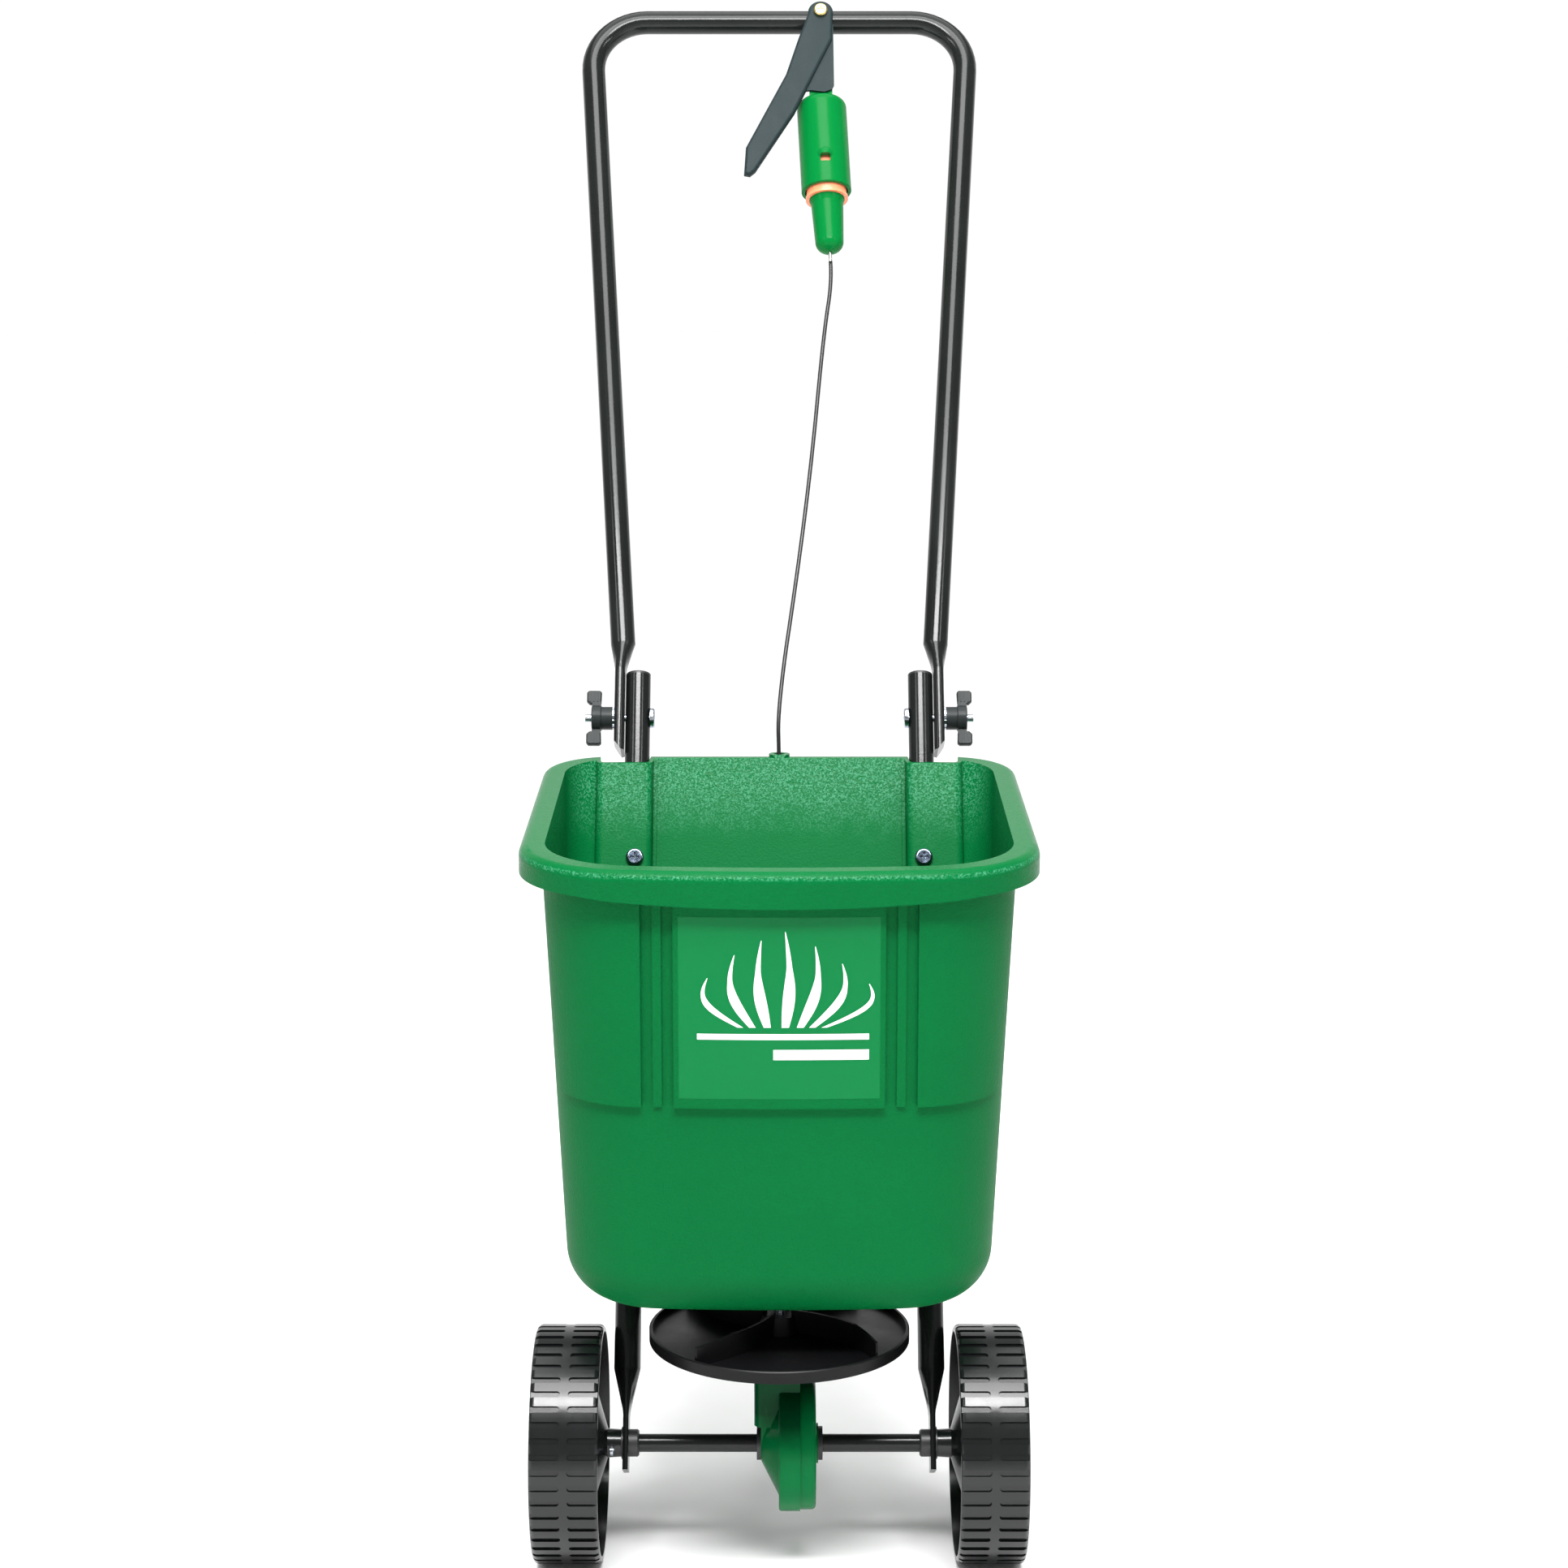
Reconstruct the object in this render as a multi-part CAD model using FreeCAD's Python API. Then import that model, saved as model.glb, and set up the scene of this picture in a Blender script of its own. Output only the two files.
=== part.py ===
"""Walk-behind rotary spreader: hopper on two leaning tubes, axle with two wheels, bevel-driven
spinner disc, sliding shutter, fold-down handle with a squeeze trigger and a rate dial.

Units are millimetres.  The model is laid out with x across the machine, y towards the person who
pushes it and z up, with the axle above y = 0.  At export everything is moved so that the origin is
the middle of the footprint on the ground.
"""
import FreeCAD, Part
import math
import os

# ---------------------------------------------------------------- driving dimensions
WHEEL_RADIUS = 83.0           # outside the tread bars
WHEEL_INNER_X = 125.0         # inner edge of each tyre
WHEEL_OUTER_X = 172.4         # outer edge of each tyre
AXLE_RADIUS = 6.35
LEAN_DEG = 27.5               # lean of the tubes back from the vertical
TUBE_RADIUS = 9.525
TUBE_BORE = 8.1               # inside radius of the tubes
TUBE_X = 109.0                # centre of each lower tube
FOLD_AT = 545.7               # axle to fold bolt, along the tube
FOLD_BOLT_RADIUS = 3.0
TRIGGER_BOLT_RADIUS = 3.0
LOWER_TUBE_TOP = 580.0        # axle to the top of the lower tube, along the tube
BAR_AT = 1161.5               # axle to the centre of the hand bar, along the tube
BAR_HALF_WIDTH = 155.0        # centre line of the upper legs where they meet the bar's bends
BAR_BEND = 44.0               # centre line radius of the two bends
LEG_FOOT_X = 121.3            # centre line of the upper legs at the foot of the round part
SPINNER_RADIUS = 92.0
CABLE_RADIUS = 1.6
CABLE_BOSS_Y = 246.0          # hole in the rim that the cable drops through
FORE_AFT_SHIFT = -223.7       # moves the middle of the footprint to y = 0
RUNNING_GAP = 0.08            # radial clearance of shafts in bushes

# hopper
HOPPER_WALL = 3.0
RIM_HALF_WIDTH = 178.5
RIM_BACK = (250.0, 539.0)     # y, z of the back top edge of the rim
RIM_FRONT = (-104.0, 516.5)   # y, z of the front top edge of the rim
RIM_DEPTH = 19.0              # turned-down skirt at the corners
RIM_MIDDLE_DEPTH = 24.5       # and in the middle of the front
RIM_DIP_REACH = 135.0         # half the width over which the skirt hangs lower
RIM_BACK_CORNER = 52.0
RIM_FRONT_CORNER = 80.0
FRONT_BOW_RADIUS = 1000.0      # the front wall is part of a wide cylinder
BODY_TOP_HALF_WIDTH = 164.4
BODY_FLOOR_HALF_WIDTH = 147.6
BODY_FLOOR_Z = 197.0
FRONT_TOP_Y = -89.0
FRONT_FLOOR_Y = -72.0
BACK_WALL_OFFSET = 2.0        # outside of the back wall behind the tubes' centre plane
BODY_BACK_CORNER = 44.0
BODY_FRONT_CORNER = 68.0
FLOOR_CORNER = 37.0
CHANNEL_INNER_X = 97.0        # recess in the back wall that takes tube and handle foot
CHANNEL_OUTER_X = 139.0
CHANNEL_FRONT = -10.6
CHANNEL_CORNER = 3.0          # rounding of the recess's front edges, seen from the back
PANEL_STEP_Z = 352.0          # lower edge of the three raised panels of the front wall
PANEL_OUT = 4.0
GROOVE_X = 82.0               # middle of each groove between the panels
GROOVE_HALF_WIDTH = 11.0
GROOVE_RIB_HALF_WIDTH = 3.0
BACK_PANEL_OUT = 2.5          # how far the back wall stands out between the two recesses
OUTLET_RING = 26.0            # centres of the three outlets, from the spinner shaft
OUTLET_RADIUS = 7.0
OUTLET_ANGLES = (234, 270, 306)

LEAN = math.radians(LEAN_DEG)
SIDES = (-1, 1)
V = FreeCAD.Vector
X_AXIS = V(1, 0, 0)
Y_AXIS = V(0, 1, 0)
Z_AXIS = V(0, 0, 1)
nodes = {}


# ---------------------------------------------------------------- general helpers
def rod(start, direction, radius, length):
    return Part.makeCylinder(radius, length, start, direction)


def ring(start, direction, outer, inner, length):
    return rod(start, direction, outer, length).cut(rod(start, direction, inner, length))


def box(x, y, z):
    return Part.makeBox(x[1] - x[0], y[1] - y[0], z[1] - z[0], V(x[0], y[0], z[0]))


def prism(points, direction):
    face = Part.Face(Part.makePolygon(list(points) + [points[0]]))
    return face.extrude(direction)


def fuse(shapes):
    shapes = list(shapes)
    if len(shapes) == 1:
        return shapes[0]
    return shapes[0].multiFuse(shapes[1:]).removeSplitter()


def group(shapes):
    return Part.makeCompound(list(shapes))


def turned(shape, centre, axis, degrees):
    copy = shape.copy()
    copy.rotate(centre, axis, degrees)
    return copy


def mirrored(shape):
    return shape.mirror(V(0, 0, 0), X_AXIS)


def edges_where(shape, test):
    return [edge for edge in shape.Edges if test(edge)]


def rounded(shape, radius, test):
    return shape.makeFillet(radius, edges_where(shape, test))


def is_straight_along(edge, axis, tolerance=0.02):
    if edge.Curve.TypeId != "Part::GeomLine":
        return False
    return abs(abs(edge.tangentAt(edge.FirstParameter).dot(axis)) - 1) < tolerance


def leaned(shape):
    """From the upright handle frame (z along the tubes from the axle) to the machine."""
    moved = turned(shape, V(0, 0, 0), X_AXIS, -LEAN_DEG)
    moved.translate(V(0, 0, WHEEL_RADIUS))
    return moved


def leaned_point(x, y, z):
    return V(x, y * math.cos(LEAN) + z * math.sin(LEAN),
             WHEEL_RADIUS - y * math.sin(LEAN) + z * math.cos(LEAN))


def bent_path(points, radius=None):
    """A wire of straight runs joined by tangent arcs.  Without a radius each arc is as large as
    0.45 of the shorter run beside it allows."""
    edges = []
    start = points[0]
    for before, corner, after in zip(points, points[1:], points[2:]):
        into = (corner - before).normalize()
        out = (after - corner).normalize()
        turn = into.getAngle(out)
        shorter = min((corner - before).Length, (after - corner).Length)
        setback = radius * math.tan(turn / 2) if radius else 0.45 * shorter
        arc_radius = setback / math.tan(turn / 2)
        arc_start = corner - into * setback
        arc_end = corner + out * setback
        inward = (out - into).normalize()
        centre = corner + inward * (arc_radius / math.cos(turn / 2))
        middle = centre - inward * arc_radius
        edges.append(Part.LineSegment(start, arc_start).toShape())
        edges.append(Part.Arc(arc_start, middle, arc_end).toShape())
        start = arc_end
    edges.append(Part.LineSegment(start, points[-1]).toShape())
    return Part.Wire(edges)


def swept(path, radius):
    first = path.Edges[0]
    direction = first.tangentAt(first.FirstParameter)
    start = first.valueAt(first.FirstParameter)
    section = Part.Wire(Part.makeCircle(radius, start, direction))
    return path.makePipeShell([section], True, False)


def helix_spring(start, direction, coil_radius, wire_radius, pitch, length):
    helix = Part.makeHelix(pitch, length, coil_radius)
    section = Part.Wire(Part.makeCircle(wire_radius, V(coil_radius, 0, 0), Y_AXIS))
    spring = Part.Wire(helix).makePipeShell([section], True, True)
    spring.Placement = FreeCAD.Placement(start, FreeCAD.Rotation(Z_AXIS, direction))
    return spring


def pan_head_screw(seat, direction, head_radius, head_height, shank_radius, shank_length):
    """Head rises from the seat along direction, shank runs the other way, cross slot on top."""
    head = rod(seat, direction, head_radius, head_height)
    top_z = head_height * 0.45
    head = head.makeFillet(top_z, [e for e in head.Edges
                                   if (e.CenterOfMass - seat).dot(direction) > head_height * 0.9])
    shank = rod(seat, direction * -1, shank_radius, shank_length)
    across = direction.cross(X_AXIS if abs(direction.x) < 0.9 else Z_AXIS).normalize()
    other = direction.cross(across)
    screw = head.fuse(shank)
    for arm, thin in ((across, other), (other, across)):
        corner = seat + direction * (head_height * 0.45) - arm * (head_radius * 0.5) - thin * 0.5
        slot = prism([corner, corner + arm * head_radius, corner + arm * head_radius + thin,
                      corner + thin], direction * head_height)
        screw = screw.cut(slot)
    return screw


def hexagon(seat, direction, across_flats, height, bore):
    sideways = direction.cross(X_AXIS if abs(direction.x) < 0.9 else Z_AXIS).normalize()
    other = direction.cross(sideways)
    radius = across_flats / 2 / math.cos(math.pi / 6)
    corners = [seat + sideways * (radius * math.cos(k * math.pi / 3))
               + other * (radius * math.sin(k * math.pi / 3)) for k in range(6)]
    return prism(corners, direction * height).cut(rod(seat, direction, bore, height))


# ---------------------------------------------------------------- hopper
def hopper_block(inset, top_z):
    """The hopper's body as a solid block with rounded corners, shrunk by inset on every wall."""
    def width_at(z):
        part_up = (z - BODY_FLOOR_Z) / (RIM_BACK[1] - BODY_FLOOR_Z)
        return BODY_FLOOR_HALF_WIDTH + (BODY_TOP_HALF_WIDTH - BODY_FLOOR_HALF_WIDTH) * part_up

    def back_at(z):
        return (z - WHEEL_RADIUS) * math.tan(LEAN) + BACK_WALL_OFFSET / math.cos(LEAN)

    floor_z = BODY_FLOOR_Z + inset
    back_inset = inset / math.cos(LEAN)
    side_view = [V(-400, -300, floor_z), V(-400, back_at(floor_z) - back_inset, floor_z),
                 V(-400, back_at(top_z) - back_inset, top_z), V(-400, -300, top_z)]
    low_half = width_at(floor_z) - inset
    high_half = width_at(top_z) - inset
    front_view = [V(-low_half, -400, floor_z), V(low_half, -400, floor_z),
                  V(high_half, -400, top_z), V(-high_half, -400, top_z)]
    block = prism(side_view, V(800, 0, 0)).common(prism(front_view, V(0, 1200, 0)))
    lean = math.atan2(FRONT_FLOOR_Y - FRONT_TOP_Y, RIM_FRONT[1] - BODY_FLOOR_Z)
    up_the_front = V(0, -math.sin(lean), math.cos(lean))
    bow_centre = V(0, FRONT_FLOOR_Y + inset + FRONT_BOW_RADIUS, BODY_FLOOR_Z) - up_the_front * 200
    block = block.common(rod(bow_centre, up_the_front, FRONT_BOW_RADIUS, 900)).removeSplitter()

    def is_upright(edge):
        return abs(edge.tangentAt(edge.FirstParameter).z) > 0.5

    def is_front_corner(edge):
        return is_upright(edge) and edge.CenterOfMass.y < 0

    def is_back_corner(edge):
        return is_upright(edge) and edge.CenterOfMass.y > 60 and abs(edge.CenterOfMass.x) > 120
    block = rounded(block, BODY_FRONT_CORNER - inset, is_front_corner)
    block = rounded(block, BODY_BACK_CORNER - inset, is_back_corner)

    def on_floor(edge):
        return edge.BoundBox.ZMax < floor_z + 0.01
    return rounded(block, FLOOR_CORNER - inset, on_floor)


def rim_plan(inset, low, high):
    """The rim's outline seen square to its own tilted plane, carried from low to high across it."""
    length = math.hypot(RIM_BACK[1] - RIM_FRONT[1], RIM_BACK[0] - RIM_FRONT[0])
    bow = FRONT_BOW_RADIUS + 15
    half = RIM_HALF_WIDTH - inset
    plate = box((-half, half), (-60, length - inset), (low, high))
    plate = plate.common(rod(V(0, bow + inset, low), Z_AXIS, bow, high - low))

    def is_corner(edge, front):
        return is_straight_along(edge, Z_AXIS) and (edge.CenterOfMass.y < length / 2) == front
    plate = rounded(plate, RIM_FRONT_CORNER - inset, lambda edge: is_corner(edge, True))
    return rounded(plate, RIM_BACK_CORNER - inset,
                   lambda edge: is_corner(edge, False) and edge.CenterOfMass.y > length - 60)


def rim_lip():
    """A lip with rounded outer edge and a thin skirt that hangs lower in the middle of the front."""
    lip = rim_plan(0, -RIM_MIDDLE_DEPTH, 0)
    lip = rounded(lip, 7.0, lambda edge: edge.BoundBox.ZMin > -0.01)
    hollow = rim_plan(HOPPER_WALL, -RIM_MIDDLE_DEPTH - 5, -HOPPER_WALL)
    hollow = rounded(hollow, 5.0, lambda edge: edge.BoundBox.ZMin > -HOPPER_WALL - 0.01)
    right = V(RIM_DIP_REACH, -60, -RIM_DEPTH)
    left = V(-RIM_DIP_REACH, -60, -RIM_DEPTH)
    dip = Part.Arc(left, V(0, -60, -RIM_MIDDLE_DEPTH + 0.05), right)
    corners = [right, V(300, -60, -RIM_DEPTH), V(300, -60, -80), V(-300, -60, -80),
               V(-300, -60, -RIM_DEPTH), left]
    edges = [Part.LineSegment(a, b).toShape() for a, b in zip(corners, corners[1:])]
    below = Part.Face(Part.Wire([dip.toShape()] + edges))
    return lip.cut(hollow).cut(below.extrude(V(0, 500, 0)))


def placed_on_rim(shape):
    tilt = math.atan2(RIM_BACK[1] - RIM_FRONT[1], RIM_BACK[0] - RIM_FRONT[0])
    shape = turned(shape, V(0, 0, 0), X_AXIS, math.degrees(tilt))
    shape.translate(V(0, RIM_FRONT[0], RIM_FRONT[1]))
    return shape


def channel_box(side, grow):
    """The recess for one tube, seen from the back, in the upright handle frame."""
    low_x, high_x = sorted((side * (CHANNEL_INNER_X - grow), side * (CHANNEL_OUTER_X + grow)))
    slope = 3.0
    front = CHANNEL_FRONT - grow
    outline = [V(low_x + slope, front, 40), V(high_x - slope, front, 40),
               V(high_x + slope, 60, 40), V(low_x - slope, 60, 40)]
    channel = prism(outline, V(0, 0, 700))

    def is_front(edge):
        return is_straight_along(edge, Z_AXIS) and edge.CenterOfMass.y < front + 1
    return leaned(rounded(channel, CHANNEL_CORNER + grow, is_front))


def back_panel(half_width, front, back):
    """The strip of the back wall between the two recesses."""
    return leaned(box((-half_width, half_width), (front, back), (170, 580)))


def outlet_holes():
    holes = []
    for angle in OUTLET_ANGLES:
        x = OUTLET_RING * math.cos(math.radians(angle))
        y = OUTLET_RING * math.sin(math.radians(angle))
        holes.append(rod(V(x, y, 180), Z_AXIS, OUTLET_RADIUS, 40))
    return group(holes)


def hopper():
    above = 620.0
    outside = hopper_block(0, above)
    inside = hopper_block(HOPPER_WALL, above + 5)

    # three raised front panels with two grooves between them, above a step in the front wall
    window = box((-400, 400), (-400, -FRONT_TOP_Y - 130), (PANEL_STEP_Z, above))
    panels = outside.copy()
    panels.translate(V(0, -PANEL_OUT, 0))
    panels = panels.common(window)
    rib = outside.copy()
    rib.translate(V(0, -PANEL_OUT / 2, 0))
    rib = rib.common(window)
    for middle in (-GROOVE_X, GROOVE_X):
        groove = (middle - GROOVE_HALF_WIDTH, middle + GROOVE_HALF_WIDTH)
        panels = panels.cut(box(groove, (-200, FRONT_TOP_Y + 12), (0, above)))
        strip = (middle - GROOVE_RIB_HALF_WIDTH, middle + GROOVE_RIB_HALF_WIDTH)
        outside = outside.fuse(rib.common(box(strip, (-200, 0), (0, above))))
    outside = outside.fuse(panels)

    # the back wall stands out between the recesses, with the same thickness
    panel_back = BACK_WALL_OFFSET + BACK_PANEL_OUT
    outside = outside.fuse(back_panel(CHANNEL_INNER_X - 0.5, -1, panel_back))
    inside = inside.fuse(back_panel(CHANNEL_INNER_X - HOPPER_WALL - 0.5, -30, panel_back - HOPPER_WALL))

    # tube recesses
    for side in SIDES:
        outside = outside.cut(channel_box(side, 0))
        inside = inside.cut(channel_box(side, HOPPER_WALL))

    lip = placed_on_rim(rim_lip())
    below_rim = placed_on_rim(box((-300, 300), (-200, 600), (-600, -HOPPER_WALL / 2)))
    for side in SIDES:
        lip = lip.cut(channel_box(side, 0))
    body = outside.common(below_rim).fuse(lip)

    # boss on the back of the rim that the cable drops through
    boss = rod(V(0, CABLE_BOSS_Y, RIM_BACK[1] - 23), Z_AXIS, 8.0, 24.5)
    body = body.fuse(boss).cut(inside)
    body = body.cut(rod(V(0, CABLE_BOSS_Y, 500), Z_AXIS, 4.2, 80))

    # outlets, the shaft bush's hole and the screw holes
    body = body.cut(outlet_holes())
    body = body.cut(rod(V(0, 0, 180), Z_AXIS, 8.0, 40))
    for x, along in hopper_screw_places():
        body = body.cut(leaned(rod(V(x, -40, along), Y_AXIS, 2.6, 60)))
    return body.removeSplitter()


def hopper_screw_places():
    return [(side * TUBE_X, along) for side in SIDES for along in (240.0, 430.0)]


def hopper_fasteners():
    face = CHANNEL_FRONT - HOPPER_WALL
    screws = []
    nuts = []
    for x, along in hopper_screw_places():
        screws.append(leaned(pan_head_screw(V(x, face, along), Y_AXIS * -1, 6.6, 3.6, 2.5, 31)))
        nuts.append(leaned(hexagon(V(x, TUBE_RADIUS, along), Y_AXIS, 8, 4, 2.5)))
    return group(screws), group(nuts)


# ---------------------------------------------------------------- tubes
def oval_section(x, z, half_thick, half_wide):
    """Four-piece closed outline in a level plane: flat faces towards +x and -x, round ends."""
    straight = half_wide - half_thick
    left, right = x - half_thick, x + half_thick
    far_end = Part.Arc(V(left, straight, z), V(x, half_wide, z), V(right, straight, z))
    right_side = Part.LineSegment(V(right, straight, z), V(right, -straight, z))
    near_end = Part.Arc(V(right, -straight, z), V(x, -half_wide, z), V(left, -straight, z))
    left_side = Part.LineSegment(V(left, -straight, z), V(left, straight, z))
    return Part.Wire([piece.toShape() for piece in (far_end, right_side, near_end, left_side)])


def round_section(x, z, radius):
    """The same four pieces on a circle, so that the two outlines loft cleanly."""
    reach = radius * math.sin(math.radians(60))
    half = radius * math.cos(math.radians(60))
    corner = [V(x - half, reach, z), V(x + half, reach, z),
              V(x + half, -reach, z), V(x - half, -reach, z)]
    middle = [V(x, radius, z), V(x + radius, 0, z), V(x, -radius, z), V(x - radius, 0, z)]
    arcs = [Part.Arc(corner[k], middle[k], corner[(k + 1) % 4]).toShape() for k in range(4)]
    return Part.Wire(arcs)


def flattened(x_round, z_round, x_flat, z_flat, z_end, half_thick, half_wide, lean=0.0):
    """A tube end squashed flat: a taper, whose round end is square to the tube, and a flat tongue."""
    round_end = round_section(x_round, z_round, TUBE_RADIUS)
    round_end = turned(round_end, V(x_round, 0, z_round), Y_AXIS, lean)
    flat_end = oval_section(x_flat, z_flat, half_thick, half_wide)
    taper = Part.makeLoft([round_end, flat_end], True, True)
    tongue = Part.Face(flat_end).extrude(V(0, 0, z_end - z_flat))
    return taper, tongue


AXLE_BUSH_BARREL = 8.5
FLAT_HALF_THICK = 2.0


def lower_tube(side):
    taper_top = 52.0
    taper_end = 19.0
    tail = -19.6
    x = side * TUBE_X
    pipe = ring(V(x, 0, taper_top), Z_AXIS, TUBE_RADIUS, TUBE_BORE, LOWER_TUBE_TOP - taper_top)
    taper, tongue = flattened(x, taper_top, x, taper_end, tail, FLAT_HALF_THICK, 13.0)
    tongue = tongue.cut(rod(V(x - 20, 0, 0), X_AXIS, AXLE_BUSH_BARREL, 40))
    tube = fuse([pipe, taper, tongue])
    for x_screw, along in hopper_screw_places():
        tube = tube.cut(rod(V(x_screw, -40, along), Y_AXIS, 2.6, 80))
    return leaned(tube.cut(rod(V(x - 40, 0, FOLD_AT), X_AXIS, FOLD_BOLT_RADIUS, 80)))


def tube_plugs():
    plugs = []
    for side in SIDES:
        x = side * TUBE_X
        cap = rod(V(x, 0, LOWER_TUBE_TOP), Z_AXIS, TUBE_RADIUS, 2.2)
        cap = rounded(cap, 1.4, lambda edge: edge.BoundBox.ZMin > LOWER_TUBE_TOP + 2)
        plugs.append(leaned(cap.fuse(rod(V(x, 0, LOWER_TUBE_TOP - 14), Z_AXIS, TUBE_BORE - 0.05, 14))))
    return group(plugs)


SADDLE_INNER = TUBE_X + TUBE_RADIUS + 0.35
SADDLE_OUTER = SADDLE_INNER + 8.0
LEG_TAPER_TOP = 606.0
LEG_TAPER_END = 584.0
LEG_TAIL = 517.5


def upper_handle():
    half_thick = (SADDLE_OUTER - SADDLE_INNER) / 2
    flat_x = (SADDLE_OUTER + SADDLE_INNER) / 2
    corner_x = BAR_HALF_WIDTH + 2.4
    path = bent_path([V(-LEG_FOOT_X, 0, LEG_TAPER_TOP), V(-corner_x, 0, BAR_AT),
                      V(corner_x, 0, BAR_AT), V(LEG_FOOT_X, 0, LEG_TAPER_TOP)], BAR_BEND)
    bow = swept(path, TUBE_RADIUS).cut(swept(path, TUBE_BORE))
    leg_lean = math.degrees(math.atan2(corner_x - LEG_FOOT_X, BAR_AT - LEG_TAPER_TOP))
    pieces = [bow]
    for side in SIDES:
        taper, tongue = flattened(side * LEG_FOOT_X, LEG_TAPER_TOP, side * flat_x, LEG_TAPER_END,
                                  LEG_TAIL, half_thick, 11.5, side * leg_lean)
        outer_cut = [V(side * (SADDLE_INNER - 1), -20, LEG_TAIL - 5),
                     V(side * (SADDLE_OUTER + 1), -20, LEG_TAIL - 5),
                     V(side * (SADDLE_OUTER + 1), -20, LEG_TAIL + 9)]
        tongue = tongue.cut(prism(outer_cut, V(0, 40, 0)))
        pieces += [taper, tongue]
    handle = fuse(pieces)
    handle = handle.cut(rod(V(-200, 0, FOLD_AT), X_AXIS, FOLD_BOLT_RADIUS + RUNNING_GAP, 400))
    handle = handle.cut(rod(V(TRIGGER_X, -40, BAR_AT), Y_AXIS, TRIGGER_BOLT_RADIUS, 80))
    return leaned(handle)


# ---------------------------------------------------------------- fold joint hardware
WASHER_THICK = 1.5
WING_FROM = SADDLE_OUTER + WASHER_THICK + 0.3


def fold_bolts():
    bolts = []
    for side in SIDES:
        seat = V(side * (TUBE_X - TUBE_RADIUS), 0, FOLD_AT)
        out = X_AXIS * side
        bolts.append(leaned(pan_head_screw(seat, out * -1, 7.8, 3.6, FOLD_BOLT_RADIUS, 50)))
    return group(bolts)


def fold_washers():
    """Shake-proof washers with serrated edges."""
    washers = []
    for side in SIDES:
        start = V(side * SADDLE_OUTER, 0, FOLD_AT)
        washer = ring(start, X_AXIS * side, 8.5, FOLD_BOLT_RADIUS + RUNNING_GAP, WASHER_THICK)
        for k in range(14):
            notch = rod(start + V(0, 8.6, 0), X_AXIS * side, 0.8, WASHER_THICK)
            washer = washer.cut(turned(notch, start, X_AXIS, k * 360 / 14))
        washers.append(leaned(washer))
    return group(washers)


WING_HUB_LENGTH = 8.2
WING_COLLAR_END = 15.8
WING_THICK = 5.2


def wing_plate(side, up, outline):
    """A flat piece of a wing; outline: (out along the bolt, away from it) pairs."""
    corners = [V(side * (WING_FROM + along), -WING_THICK / 2, FOLD_AT + up * away)
               for along, away in outline]
    return prism(corners, V(0, WING_THICK, 0))


def wing_nut(side):
    """Moulded wing nut: a round hub, a wider collar and two ribbed tabs on short necks."""
    start = V(side * WING_FROM, 0, FOLD_AT)
    out = X_AXIS * side
    hub = rod(start, out, 8.9, WING_HUB_LENGTH + 1)
    collar = rod(start + out * WING_HUB_LENGTH, out, 10.0, WING_COLLAR_END - WING_HUB_LENGTH)
    collar = collar.makeFillet(0.9, [e for e in collar.Edges if e.Curve.TypeId == "Part::GeomCircle"])
    pieces = [hub, collar]
    for up in SIDES:
        neck = wing_plate(side, up, [(8.8, 7), (8.8, 13), (15.8, 13), (15.2, 7)])
        tab = wing_plate(side, up, [(8.6, 11), (8.2, 20.6), (9.8, 22), (18.2, 22), (19.8, 20.4),
                                    (19.8, 13.2), (17.4, 11)])
        pieces += [neck, tab.makeFillet(1.2, tab.Edges)]
        for along in (11.4, 14.2, 17.0):
            rib = box((0, 0.9), (-WING_THICK / 2 - 0.5, WING_THICK / 2 + 0.5), (-4.0, 4.0))
            rib.translate(V(side * (WING_FROM + along) - 0.45, 0, FOLD_AT + up * 16.8))
            pieces.append(rib)
    nut = fuse(pieces)
    return leaned(nut.cut(rod(start, out, FOLD_BOLT_RADIUS + RUNNING_GAP, 30)))


# ---------------------------------------------------------------- axle and wheels
HUB_INNER_X = 112.4
HUB_RADIUS = 9.6
AXLE_HALF = 170.0
DRIVE_PIN_X = -118.5
DRIVE_PIN_RADIUS = 1.5


def axle():
    bar = rod(V(-AXLE_HALF, 0, WHEEL_RADIUS), X_AXIS, AXLE_RADIUS, 2 * AXLE_HALF)
    bar = bar.makeChamfer(1.0, [e for e in bar.Edges if abs(e.CenterOfMass.x) > AXLE_HALF - 1])
    return bar.cut(rod(V(DRIVE_PIN_X, -20, WHEEL_RADIUS), Y_AXIS, DRIVE_PIN_RADIUS, 40))


TREAD_SLOTS = 48              # slots round each row of the tread
TREAD_SLOT_WIDTH = 4.4
TREAD_SLOT_DEPTH = 1.5
TREAD_BAND = 5.5              # plain band between the two rows
TREAD_SHOULDER = 3.2
TREAD_EDGE_DEPTH = 2.2        # how far the shoulders fall below the tread
WHEEL_RIBS = 8
WHEEL_RIB_THICK = 3.2


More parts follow.
